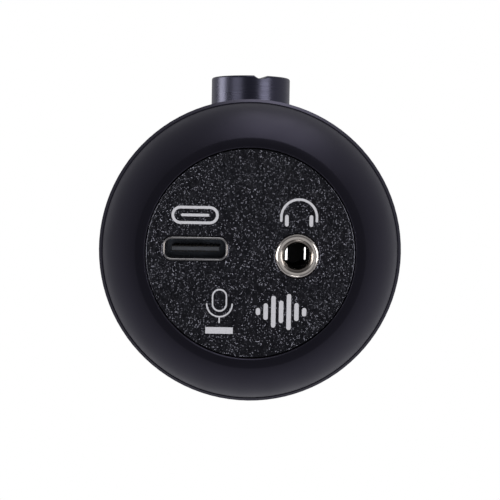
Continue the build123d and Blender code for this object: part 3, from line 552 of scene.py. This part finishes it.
def make_base_ring():
    """The CAD ring's section with its edges eased, as a tumbled turning has them."""
    arc_r, arc_x, arc_z = 9.5 * MM, 11.98 * MM, 8.72 * MM
    crest_in, crest_out = 14.65 * MM, 15.75 * MM
    parting_z, edge_ease = 5.45 * MM, 0.06 * MM
    outer_r, thread_r, bore_r, hole_r = 20.4 * MM, 19.95 * MM, 17.5 * MM, 14.5 * MM
    ease_z = parting_z - edge_ease
    ease_x = arc_x + math.sqrt((arc_r - edge_ease) ** 2 - (ease_z - arc_z) ** 2)
    crest_angle = -math.degrees(math.acos((crest_out - arc_x) / arc_r))
    edge_angle = math.degrees(math.atan2(ease_z - arc_z, ease_x - arc_x))
    profile = arc((arc_x, arc_z), arc_r, crest_angle, edge_angle, 40)
    profile += arc((ease_x, ease_z), edge_ease, edge_angle, 90, 6)[1:]
    inner = [
        (outer_r, parting_z),
        (outer_r, barrel_low.z),
        (thread_r, barrel_low.z),
        (thread_r, ring_high.z),
        (bore_r, ring_high.z),
        (bore_r, FLANGE_Z),
        (hole_r, FLANGE_Z),
        (hole_r, crest_in - hole_r),
        (crest_in, 0),
    ]
    eased = rounded([*inner, profile[0]], [0, 0, 0, 0, 0, 0, 0, edge_ease, edge_ease, 0])
    vertices, faces = revolve(profile + eased[:-1], 256)
    piece = fix_normals(add_piece("base_ring_turned", vertices, faces, satin, "black_anodised"))
    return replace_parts(piece, "base_ring")


make_base_ring()


# ---------------------------------------------------------------- port panel and its grain

def rounded_rectangle(center, size, corner_r, spacing):
    """Points round a rounded rectangle, about one spacing apart."""
    steps = max(6, round(corner_r * math.pi / 2 / spacing))
    points = corner_arcs(center, size, corner_r, 0, steps)
    filled = []
    for i, point in enumerate(points):
        here, there = Vector(point), Vector(points[(i + 1) % len(points)])
        cuts = max(1, round((there - here).length / spacing))
        filled += [here.lerp(there, k / cuts) for k in range(cuts)]
    return filled


GRAIN_CELL = 0.44 * MM
GRAIN_DEPTH = 0.04 * MM                 # how steeply each pebble falls away from its top
GRAIN_UNEVEN = 0.012 * MM               # how much the pebbles' tops differ in height
GRAIN_LEAN = 0.1                        # how much a pebble's top can slope


def grain_height(x, y):
    """How far the moulded grain lies behind the panel's face: pebbles of uneven height."""
    distances, tops = noise.voronoi(Vector((x, y, 0)) / GRAIN_CELL)
    fall = GRAIN_DEPTH * distances[0] ** 2
    top = tops[0]
    chance, slope_x, slope_y = (noise.noise(top * seed) for seed in (7.3, 5.1, 9.7))
    aside = Vector((x - top.x * GRAIN_CELL, y - top.y * GRAIN_CELL))
    return fall + GRAIN_UNEVEN * chance + GRAIN_LEAN * Vector((slope_x, slope_y)).dot(aside)


def make_panel():
    """Plate with a grained face, two openings and the flange that the rim clamps."""
    spacing, row_step, plate_r, fade = 0.092 * MM, 0.08 * MM, 14.35 * MM, 0.15 * MM
    gap = 0.08 * MM
    usb_size = (usb_high.x - usb_low.x + 2 * gap, usb_high.y - usb_low.y + 2 * gap)
    slot_r, jack_r = SHELL_CORNER_R + gap, BUSHING_R + gap
    rim = [Vector(p) for p in arc((0, 0), plate_r, 0, 360, 700)[:-1]]
    slot = rounded_rectangle(USB_CENTER, usb_size, slot_r, spacing)
    hole = [Vector(p) for p in arc(JACK_CENTER, jack_r, 0, 360, 150)[:-1]]
    usb_inner = (usb_size[0] / 2 - slot_r, usb_size[1] / 2 - slot_r)

    def room(x, y):
        """Distance to the nearest edge of the plate, negative in an opening."""
        dx = max(abs(x - USB_CENTER.x) - usb_inner[0], 0)
        dy = max(abs(y - USB_CENTER.y) - usb_inner[1], 0)
        to_slot = math.hypot(dx, dy) - slot_r
        to_hole = math.hypot(x - JACK_CENTER.x, y - JACK_CENTER.y) - jack_r
        return min(plate_r - math.hypot(x, y), to_slot, to_hole)

    points, edges = [], []
    for loop in (rim, slot, hole):
        start, count = len(points), len(loop)
        points += loop
        edges += [(start + i, start + (i + 1) % count) for i in range(count)]
    border = len(points)
    rows, columns = int(plate_r / row_step) + 1, int(plate_r / spacing) + 1
    for j in range(-rows, rows + 1):
        for i in range(-columns, columns + 1):
            x, y = (i + 0.5 * (j % 2)) * spacing, j * row_step
            if room(x, y) > 0.55 * spacing:
                points.append(Vector((x, y)))
    flat, triangles = triangulated(points, edges)

    def is_solid(triangle):
        a, b, c = (flat[k] for k in triangle)
        return room((a.x + b.x + c.x) / 3, (a.y + b.y + c.y) / 3) > 0

    front = [t for t in triangles if is_solid(t)]
    vertices = []
    for p in flat:
        share = min(max(room(p.x, p.y) / fade, 0), 1)
        vertices.append((p.x, p.y, PANEL_Z + share * grain_height(p.x, p.y)))
    shift = len(vertices)               # from a border point to the one behind it
    vertices += [(p.x, p.y, PLATE_TOP) for p in flat[:border]]
    faces = [tuple(reversed(t)) for t in front]
    back = triangulated(points[:border], edges)[1]
    faces += [tuple(k + shift for k in t) for t in back if is_solid(t)]
    faces += [(a, b, b + shift, a + shift) for a, b in edges]
    inner_r, outer_r, high_z = 13.2 * MM, 17.2 * MM, 4.4 * MM
    corners = [(inner_r, FLANGE_Z), (outer_r, FLANGE_Z), (outer_r, high_z), (inner_r, high_z)]
    flange = revolve(corners, 128)
    vertices, faces = merged([(vertices, faces), flange])
    piece = fix_normals(add_piece("port_panel_grained", vertices, faces, grain, "panel_plastic"))
    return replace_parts(piece, "port_panel")


make_panel()


# ---------------------------------------------------------------- printed pictograms

INK_LOW = PANEL_Z - 0.055 * MM
INK_HIGH = PANEL_Z + 0.060 * MM


def printed(name, parts):
    """One print, made of closed slabs that lie on the grain."""
    vertices, faces = merged(parts)
    return fix_normals(add_piece(name, vertices, faces, ink, "panel_plastic", flat=True))


def line(points, width):
    """A printed line with round ends, in millimetres."""
    return stroke([(x * MM, y * MM) for x, y in points], width * MM, INK_LOW, INK_HIGH)


def ring(points, width):
    """A printed line that closes on itself, in millimetres."""
    return stroke([(x * MM, y * MM) for x, y in points], width * MM, INK_LOW, INK_HIGH, closed=True)


def solid(points):
    """A printed area, in millimetres."""
    return outline_slab([(x * MM, y * MM) for x, y in points], INK_LOW, INK_HIGH)


def oval_points(center, size):
    """Points round a stadium lying across, in millimetres."""
    steps = 24
    r = size[1] / 2
    reach = size[0] / 2 - r
    right = arc((center[0] + reach, center[1]), r, -90, 90, steps)
    left = arc((center[0] - reach, center[1]), r, 90, 270, steps)
    return right + left


def make_connector_mark(x, y):
    """Socket outline with its tongue: marks the data socket."""
    pen, tongue = 0.38, 1.75
    body = oval_points((x, y), (6.1, 2.1))
    printed("mark_connector", [ring(body, pen), line([(x - tongue, y), (x + tongue, y)], pen)])


def make_headphone_mark(x, y):
    """Headband over two ear pads."""
    r, end, pad = 2.44, 0.5, 1.68
    band = [(x - r, y + end), *arc((x, y), r, 180, 360, 40), (x + r, y + end)]
    pads = [line([(x + at, y - 0.06), (x + at, y + 1.02)], 0.52) for at in (-pad, pad)]
    printed("mark_headphones", [line(band, 0.33), *pads])


def make_microphone_mark(x, y):
    """Thin outline of a microphone capsule in its yoke, over a plain bar."""
    pen, half, top, low = 0.2, 0.95, y - 2.1, y - 0.1
    capsule = arc((x, top + half), half, 180, 360, 16) + arc((x, low), half, 0, 180, 16)
    yoke = arc((x, low), 1.75, 0, 180, 20)
    stem = [(x, low + 1.9), (x, low + 2.55)]
    bar_x, bar_top, bar_foot = 1.9, y + 3.1, y + 4.0
    bar = [(x - bar_x, bar_top), (x + bar_x, bar_top), (x + bar_x, bar_foot), (x - bar_x, bar_foot)]
    printed("mark_microphone", [ring(capsule, pen), line(yoke, pen), line(stem, pen), solid(bar)])


def make_level_mark(x, y):
    """Row of rounded bars that rise and fall: marks the audio path."""
    heights, pitch, width = (1.0, 2.3, 4.4, 3.1, 5.0, 2.5, 1.2), 1.06, 0.62
    bars = []
    for i, height in enumerate(heights):
        at = x + (i - (len(heights) - 1) / 2) * pitch
        reach = (height - width) / 2
        bars.append(line([(at, y - reach), (at, y + reach)], width))
    printed("mark_level", bars)


make_connector_mark(-7.65, -5.2)
make_headphone_mark(6.6, -5.1)
make_microphone_mark(-4.15, 7.1)
make_level_mark(4.35, 7.95)


# ---------------------------------------------------------------- knob

def make_knob():
    """Turned cap with a pointer groove that a ball cutter left in its face."""
    low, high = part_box("knob")
    middle_z = (low.z + high.z) / 2
    knob_r, edge, bore_r, bore_end = (high.x - low.x) / 2, 0.35 * MM, 5.2 * MM, -26.2 * MM
    groove_half, groove_depth, run_in, below_face = 1.15 * MM, 0.55 * MM, 0.5 * MM, 0.6 * MM
    pointer = math.radians(14.6)
    pointer_dir = Vector((math.sin(pointer), -math.cos(pointer)))
    rows = [(knob_r * k / 34, low.y) for k in range(1, 32)]
    rows += [
        (knob_r - edge + edge * math.sin(a), low.y + edge - edge * math.cos(a))
        for a in (math.radians(d) for d in range(0, 91, 15))
    ]
    bevel = 0.1 * MM
    rows += [(knob_r, low.y + edge + bevel), (knob_r, high.y - 2 * bevel), (knob_r, high.y - bevel)]
    rows += [(knob_r - bevel, high.y), (bore_r, high.y), (bore_r, bore_end)]
    segments = 240
    vertices = [(0, low.y, middle_z)]
    for i in range(segments):
        turn = 2 * math.pi * i / segments
        for r, y in rows:
            spot = Vector((r * math.cos(turn), r * math.sin(turn)))
            along = spot.dot(pointer_dir)
            across = abs(spot.x * pointer_dir.y - spot.y * pointer_dir.x)
            if along > 0 and y < high.y - 2 * MM:
                wall = max(0, 1 - (across / groove_half) ** 2)
                start = min(1, along / run_in)
                y += groove_depth * wall * start * max(0, 1 - (y - low.y) / below_face)
            vertices.append((spot.x, y, middle_z + spot.y))
    count = len(rows)
    faces = []
    for i in range(segments):
        a, b = 1 + i * count, 1 + (i + 1) % segments * count
        faces.append((0, a, b))
        faces += [(a + k, a + k + 1, b + k + 1, b + k) for k in range(count - 1)]
    faces.append(tuple(1 + i * count + count - 1 for i in range(segments)))
    finish = SLOT_FINISH["knob_metal"]
    piece = add_piece("knob_turned", vertices, faces, finish, "knob_metal", "volume_knob")
    fix_normals(piece)
    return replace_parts(piece, "knob")


make_knob()


# ---------------------------------------------------------------- connector shells with drawn lips

def make_usb_shell():
    """Drawn steel shell whose mouth is rolled to a round lip."""
    size = (usb_high.x - usb_low.x, usb_high.y - usb_low.y)
    wall, lip_steps, corner_steps = 0.3 * MM, 12, 14
    levels = [(0, usb_high.z)]
    for step in range(lip_steps + 1):
        turn = math.pi * step / lip_steps
        inset, rise = wall / 2 * (1 - math.cos(turn)), wall / 2 * (1 - math.sin(turn))
        levels.append((inset, usb_low.z + rise))
    levels.append((wall, usb_high.z))
    loops = [
        (corner_arcs(USB_CENTER, size, SHELL_CORNER_R, inset, corner_steps), z)
        for inset, z in levels
    ]
    piece = add_piece("usb_c_shell_drawn", *loop_stack(loops), lip_steel, "stainless")
    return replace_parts(fix_normals(piece), "usb_c_shell")


def make_jack_bushing():
    """Turned nickel bushing: a rounded lip, a polished mouth and a flange behind the panel."""
    low, high = bushing_low.z, bushing_high.z
    lip_r, flange_r = BUSHING_R - LIP_CREST_R, 3.9 * MM
    profile = arc((LIP_CREST_R, low + lip_r), lip_r, -90, 0, 8)
    profile += [(BUSHING_R, PLATE_TOP), (flange_r, PLATE_TOP), (flange_r, high), (BORE_R, high)]
    mouth = rounded(
        [(BORE_R, high), (BORE_R, low + CONE_DEPTH), (CONE_R, low), (LIP_CREST_R, low)],
        [0, 0.10 * MM, 0.05 * MM, 0],
    )
    vertices, faces = revolve(profile + mouth[1:-1], 128, tuple(JACK_CENTER))
    piece = add_piece("jack_bushing_turned", vertices, faces, nickel, "nickel")
    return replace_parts(fix_normals(piece), "jack_bushing")


def make_jack_mouth():
    """A skin of darker nickel over the mouth's cone and the first of the bore: painted shade in the
    recess.
    """
    low, end, skin = bushing_low.z, bushing_low.z + 1.4 * MM, 0.02 * MM
    profile = [
        (CONE_R, low), (BORE_R, low + CONE_DEPTH), (BORE_R, end),
        (BORE_R - skin, end), (BORE_R - skin, low + CONE_DEPTH - skin),
        (CONE_R - skin, low - skin / 4),
    ]
    vertices, faces = revolve(profile, 128, tuple(JACK_CENTER))
    fix_normals(add_piece("jack_mouth_plating", vertices, faces, dull_nickel, "nickel"))


def make_jack_springs():
    """Two contact springs whose flat tabs stand into the jack's bore from either side."""
    thickness, foot, end_z = 0.12 * MM, 3.4 * MM, 6.0 * MM
    middle_y = JACK_CENTER.y - 0.2 * MM
    parts = []
    for sign, reach, tab, half_height in (
        (-1, 0.50 * MM, 0.36 * MM, 0.95 * MM),
        (1, 0.62 * MM, 0.26 * MM, 0.85 * MM),
    ):
        start_x = JACK_CENTER.x + sign * 1.70 * MM
        side_on = [
            (reach - tab, foot), (reach, foot + 0.01 * MM), (reach, foot + 0.30 * MM),
            (0.10 * MM, end_z), (0, end_z), (0, end_z - 0.2 * MM),
            (reach - tab, foot + thickness),
        ]
        outline = rounded(side_on, [0.03 * MM, 0.08 * MM, 0.08 * MM, 0, 0, 0, 0.02 * MM])
        count = len(outline)
        vertices = [
            (start_x - sign * x, middle_y + end * half_height, z)
            for end in (-1, 1) for x, z in outline
        ]
        faces = [tuple(range(count)), tuple(count + i for i in reversed(range(count)))]
        faces += [(i, (i + 1) % count, count + (i + 1) % count, count + i) for i in range(count)]
        parts.append((vertices, faces))
    fix_normals(add_piece("jack_springs", *merged(parts), steel, "stainless", flat=True))


make_usb_shell()
make_jack_bushing()
make_jack_mouth()
make_jack_springs()


# ---------------------------------------------------------------- woven head

WIRE_R = 0.225 * MM
WEAVE_PITCH = 1.45 * MM
WEAVE_LIFT = 0.17 * MM                  # how far a wire swings in and out of the weave
WEAVE_SIDES = 5                         # sides of a wire's section
WEAVE_STEPS = 3                         # steps along a wire from one crossing to the next


def wire(points, normals, closed=False):
    """Tube of one wire along points, with its section squared to the given surface normals."""
    count = len(points)
    vertices, faces = [], []
    for i, (point, normal) in enumerate(zip(points, normals)):
        before = points[i - 1] if i or closed else point
        after = points[(i + 1) % count] if i < count - 1 or closed else point
        along = (after - before).normalized()
        across = along.cross(normal).normalized()
        up = across.cross(along)
        for k in range(WEAVE_SIDES):
            angle = 2 * math.pi * k / WEAVE_SIDES
            spoke = across * math.cos(angle) + up * math.sin(angle)
            vertices.append(tuple(point + spoke * WIRE_R))
    for i in range(count if closed else count - 1):
        a, b = i * WEAVE_SIDES, (i + 1) % count * WEAVE_SIDES
        for k in range(WEAVE_SIDES):
            n = (k + 1) % WEAVE_SIDES
            faces.append((a + k, b + k, b + n, a + n))
    if not closed:
        last = (count - 1) * WEAVE_SIDES
        faces.append(tuple(range(WEAVE_SIDES)))
        faces.append(tuple(last + k for k in reversed(range(WEAVE_SIDES))))
    return vertices, faces


def make_side_weave():
    """Upright wires and level rings, over and under each other, round the head's side."""
    middle_r = HEAD_R - WEAVE_INSET
    upright_count = 2 * round(math.pi * middle_r / WEAVE_PITCH)
    ring_count = round((side_high.z - side_low.z) / WEAVE_PITCH)
    rise = (side_high.z - side_low.z) / ring_count
    uprights, rings = [], []
    for i in range(upright_count):
        angle = 2 * math.pi * i / upright_count
        outward = Vector((math.cos(angle), math.sin(angle), 0))
        points = []
        for j in range(WEAVE_STEPS * ring_count + 1):
            over = math.cos(math.pi * (j / WEAVE_STEPS - 0.5 + i))
            z = side_low.z + j / WEAVE_STEPS * rise
            points.append(outward * (middle_r + over * WEAVE_LIFT) + Vector((0, 0, z)))
        points[0].z += WIRE_R
        points[-1].z -= WIRE_R
        uprights.append(wire(points, [outward] * len(points)))
    for j in range(ring_count):
        z = side_low.z + (j + 0.5) * rise
        points, normals = [], []
        for i in range(WEAVE_STEPS * upright_count):
            angle = 2 * math.pi * i / (WEAVE_STEPS * upright_count)
            outward = Vector((math.cos(angle), math.sin(angle), 0))
            over = -math.cos(math.pi * (i / WEAVE_STEPS + j))
            points.append(outward * (middle_r + over * WEAVE_LIFT) + Vector((0, 0, z)))
            normals.append(outward)
        rings.append(wire(points, normals, closed=True))
    for name, wires in (("side_uprights", uprights), ("side_rings", rings)):
        piece = fix_normals(add_piece(name, *merged(wires), wire_paint, "black_mesh"))
        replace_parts(piece, "grille_side")


def dome_place(length):
    """(radius, z, normal's radius part, normal's z part) at an arc length from the crown."""
    shoulder_r, shoulder_turn = 10 * MM, math.radians(75)
    crown_turn = math.pi / 2 - shoulder_turn
    crown_r = shoulder_r + (HEAD_R - shoulder_r) / math.sin(crown_turn)
    crown_z = top_high.z - crown_r
    shoulder_x = HEAD_R - shoulder_r
    shoulder_z = crown_z + (crown_r - shoulder_r) * math.cos(crown_turn)
    if length < crown_turn * crown_r:
        turn = length / crown_r
        radius = (crown_r - WEAVE_INSET) * math.sin(turn)
        z = crown_z + (crown_r - WEAVE_INSET) * math.cos(turn)
        return radius, z, math.sin(turn), math.cos(turn)
    turn = crown_turn + (length - crown_turn * crown_r) / shoulder_r
    if turn < math.pi / 2:
        radius = shoulder_x + (shoulder_r - WEAVE_INSET) * math.sin(turn)
        z = shoulder_z + (shoulder_r - WEAVE_INSET) * math.cos(turn)
        return radius, z, math.sin(turn), math.cos(turn)
    return HEAD_R - WEAVE_INSET, shoulder_z - (turn - math.pi / 2) * shoulder_r, 1, 0


def dome_reach():
    """Arc length from the crown down to the foot of the top mesh."""
    low, high = 0.0, 60 * MM
    halvings = 40
    for _ in range(halvings):
        middle = (low + high) / 2
        if dome_place(middle)[1] > top_low.z + WIRE_R:
            low = middle
        else:
            high = middle
    return low


def make_top_weave():
    """Square weave drawn over the crown and pressed down over its shoulder."""
    reach = dome_reach()
    count = int(reach / WEAVE_PITCH)
    step = WEAVE_PITCH / WEAVE_STEPS
    wires = []
    for family in (0, 1):
        for i in range(-count, count + 1):
            offset = i * WEAVE_PITCH
            half = math.sqrt(reach ** 2 - offset ** 2)
            steps = int(half / step)
            stations = [-half] + [k * step for k in range(1 - steps, steps)] + [half]
            points, normals = [], []
            for station in stations:
                u, v = (offset, station) if family == 0 else (station, offset)
                length = math.hypot(u, v)
                radius, z, out, up = dome_place(length)
                side = Vector((u, v)) / length if length > 1e-9 else Vector((1, 0))
                place = Vector((side.x * radius, side.y * radius, z))
                normal = Vector((side.x * out, side.y * out, up))
                over = math.cos(math.pi * (station / WEAVE_PITCH + i)) * (1 if family == 0 else -1)
                points.append(place + normal * over * WEAVE_LIFT)
                normals.append(normal)
            wires.append(wire(points, normals))
    piece = fix_normals(add_piece("top_weave", *merged(wires), wire_paint, "black_mesh"))
    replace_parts(piece, "grille_top")


make_side_weave()
make_top_weave()


def make_foam_liner():
    """Open-cell foam behind the fine screen, a shade lumpy on both faces."""
    low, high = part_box("foam_liner")
    outer_inset, inner_inset, least_r = 0.95 * MM, 2.8 * MM, 0.02 * MM
    lump_size, lump_height = 1.6 * MM, 0.12 * MM
    outer, inner = [], []
    reach = dome_reach() + (top_low.z - low.z)
    steps = 90
    for k in range(steps + 1):
        radius, z, out, up = dome_place(reach * k / steps)
        for inset, section in ((outer_inset, outer), (inner_inset, inner)):
            section.append((max(radius - out * inset, least_r), z - up * inset))
    vertices, faces = revolve(outer + inner[::-1], 160)
    settled = []
    for x, y, z in vertices:
        swell = noise.noise(Vector((x, y, z)) / lump_size) * lump_height
        away = Vector((x, y, 0)).normalized() * swell
        settled.append((x + away.x, y + away.y, min(max(z, low.z), high.z)))
    piece = fix_normals(add_piece("foam_lining", settled, faces, SLOT_FINISH["foam"], "foam"))
    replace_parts(piece, "foam_liner")


make_foam_liner()


# ---------------------------------------------------------------- floor, lights and surroundings

def make_floor():
    """Pale floor seen only from above, so that the camera and lights under it see the base."""
    bpy.ops.mesh.primitive_plane_add(size=6)
    floor = bpy.context.object
    floor.name = "floor"
    material = bpy.data.materials.new("floor")
    material.use_nodes = True
    nodes, links = material.node_tree.nodes, material.node_tree.links
    paint = nodes["Principled BSDF"]
    paint.inputs["Base Color"].default_value = (0.82, 0.82, 0.81, 1)
    paint.inputs["Roughness"].default_value = 0.7
    paint.inputs["Specular IOR Level"].default_value = 0.2
    clear = nodes.new("ShaderNodeBsdfTransparent")
    path = nodes.new("ShaderNodeLightPath")
    side = nodes.new("ShaderNodeNewGeometry")
    seen = nodes.new("ShaderNodeMath")
    seen.operation = "SUBTRACT"
    seen.use_clamp = True
    links.new(path.outputs["Is Camera Ray"], seen.inputs[0])
    links.new(side.outputs["Backfacing"], seen.inputs[1])
    mix = nodes.new("ShaderNodeMixShader")
    links.new(seen.outputs["Value"], mix.inputs["Fac"])
    links.new(clear.outputs["BSDF"], mix.inputs[1])
    links.new(paint.outputs["BSDF"], mix.inputs[2])
    links.new(mix.outputs["Shader"], nodes["Material Output"].inputs["Surface"])
    floor.data.materials.append(material)


def area_light(name, place, size, watts, only=(), spared=(), aim=(0, 0, 0), color=(1, 1, 1)):
    """Soft rectangular light facing an aim point.

    It shines on all, on only the pieces whose names start as given, or on all but the spared ones.
    """
    data = bpy.data.lights.new(name, "AREA")
    data.shape = "RECTANGLE"
    data.size, data.size_y = size
    data.energy = watts
    data.color = color
    light = bpy.data.objects.new(name, data)
    light.location = place
    light.rotation_euler = (Vector(aim) - Vector(place)).to_track_quat("-Z", "Y").to_euler()
    light.visible_camera = False
    bpy.context.scene.collection.objects.link(light)
    if not only and not spared:
        return
    linked = bpy.data.collections.new(name + "_lit")
    for piece in list(bpy.data.objects):
        if piece.type == "MESH" and piece.name.startswith(only or spared):
            linked.objects.link(piece)
    light.light_linking.receiver_collection = linked
    if spared:
        for entry in linked.collection_objects:
            entry.light_linking.link_state = "EXCLUDE"


# The room's brightness for reflections, by the angle in degrees from straight down.
ROOM_GLOW = (
    (0, 0.17), (20, 0.16), (45, 0.19), (58, 0.26), (66, 0.40), (80, 0.50),
    (95, 0.52), (122, 0.54), (138, 0.70), (155, 0.54), (180, 0.38),
)
ROOM_LEAN = (0.06, 0.20, 0)             # brighter towards +X and +Y
ROOM_SHARE = 0.75                       # the room's strength on its middle line


def make_surroundings():
    """White behind the object for the camera, and a room bright above, dim below for the rest."""
    bpy.context.scene.view_settings.view_transform = "Standard"
    world = bpy.data.worlds.new("studio")
    bpy.context.scene.world = world
    world.use_nodes = True
    nodes, links = world.node_tree.nodes, world.node_tree.links
    backdrop = nodes["Background"]
    backdrop.inputs["Color"].default_value = (1, 1, 1, 1)
    backdrop.inputs["Strength"].default_value = 1
    coords = nodes.new("ShaderNodeTexCoord")
    split = nodes.new("ShaderNodeSeparateXYZ")
    links.new(coords.outputs["Generated"], split.inputs["Vector"])
    height = nodes.new("ShaderNodeMapRange")
    height.inputs["From Min"].default_value = -1
    links.new(split.outputs["Z"], height.inputs["Value"])
    ramp = nodes.new("ShaderNodeValToRGB")
    stops = ramp.color_ramp.elements
    while len(stops) < len(ROOM_GLOW):
        stops.new(1)
    for stop, (angle, glow) in zip(stops, ROOM_GLOW):
        stop.position = (1 - math.cos(math.radians(angle))) / 2
        stop.color = (glow, glow, glow * 1.04, 1)
    links.new(height.outputs["Result"], ramp.inputs["Fac"])
    aside = nodes.new("ShaderNodeVectorMath")
    aside.operation = "DOT_PRODUCT"
    aside.inputs[1].default_value = ROOM_LEAN
    links.new(coords.outputs["Generated"], aside.inputs[0])
    share = nodes.new("ShaderNodeMath")
    share.inputs[1].default_value = ROOM_SHARE
    links.new(aside.outputs["Value"], share.inputs[0])
    room = nodes.new("ShaderNodeBackground")
    links.new(ramp.outputs["Color"], room.inputs["Color"])
    links.new(share.outputs["Value"], room.inputs["Strength"])
    path = nodes.new("ShaderNodeLightPath")
    mix = nodes.new("ShaderNodeMixShader")
    links.new(path.outputs["Is Camera Ray"], mix.inputs["Fac"])
    links.new(room.outputs["Background"], mix.inputs[1])
    links.new(backdrop.outputs["Background"], mix.inputs[2])
    links.new(mix.outputs["Shader"], nodes["World Output"].inputs["Surface"])


BUSHING_PIECES = ("jack_bushing", "jack_mouth")
JACK_PIECES = ("usb_c_tongue", "jack_")
SHELL_PIECES = ("usb_c_shell",)
KNOB_PIECES = ("knob", "pot_shaft")
CREAM, PALE_BLUE = (1, 0.90, 0.80), (0.72, 0.82, 1)
KEY_SIZE = (0.42, 0.42)


def make_key_lights():
    """Pairs of lights in the same two places, each pair at the strength that its pieces need."""
    pairs = (
        ("key", JACK_PIECES, KEY_SIZE, 2.6, KEY_SIZE, 2.6),
        ("knob", KNOB_PIECES, (0.30, 0.42), 0.87, (0.26, 0.42), 1.75),
        ("grain_key", ("port_panel",), KEY_SIZE, 21.0, KEY_SIZE, 21.0),
        ("mark_key", ("mark_",), KEY_SIZE, 2.9, KEY_SIZE, 2.9),
    )
    for name, pieces, left_size, left_watts, right_size, right_watts in pairs:
        area_light(name + "_left", (-0.5456, -0.03, -0.585), left_size, left_watts, pieces)
        area_light(name + "_right", (0.5456, -0.03, -0.585), right_size, right_watts, pieces)


def make_lights():
    """Softboxes for the whole, then small lights that each place one reflection."""
    area_light(
        "front_softbox", (0.165, -0.73, -0.20), (0.55, 0.95), 1.85,
        spared=(*BUSHING_PIECES, "floor"),
    )
    area_light(
        "overhead", (0.12, -0.30, 1.7), (2.2, 2.2), 22,
        spared=(*KNOB_PIECES, "barrel", "base_ring"), aim=(0, 0, 0.08),
    )
    area_light("edge_top", (0.12, -0.70, -0.30), (0.3, 0.3), 3.6, ("barrel",))
    make_key_lights()
    area_light("port_card", (0, 0, -0.6), (0.2, 0.2), 0.035, JACK_PIECES + SHELL_PIECES)
    area_light("port_low", (0, 0.36, -0.40), (0.14, 0.14), 0.16, JACK_PIECES)
    area_light("shell_right", (0.5456, 0.10, -0.45), KEY_SIZE, 1.5, SHELL_PIECES, color=CREAM)
    area_light("shell_left", (-0.5456, -0.03, -0.45), KEY_SIZE, 0.9, SHELL_PIECES)
    area_light("cone_glint", (-0.54, 0.03, -0.25), (0.16, 0.16), 0.95, BUSHING_PIECES, color=CREAM)
    area_light(
        "port_fill", (0.05, 0.05, -0.6), (0.2, 0.2), 0.85,
        ("usb_c_housing", "usb_c_tongue"), color=PALE_BLUE,
    )
    area_light("spring_glint", (0, 0, -0.5), (0.34, 0.34), 0.7, ("jack_springs",))
    area_light(
        "knob_strip", (-0.16, -0.045, 0.050), (0.10, 0.07), 0.115, KNOB_PIECES,
        aim=(0, -0.025, 0.045),
    )


make_floor()
make_surroundings()
make_lights()
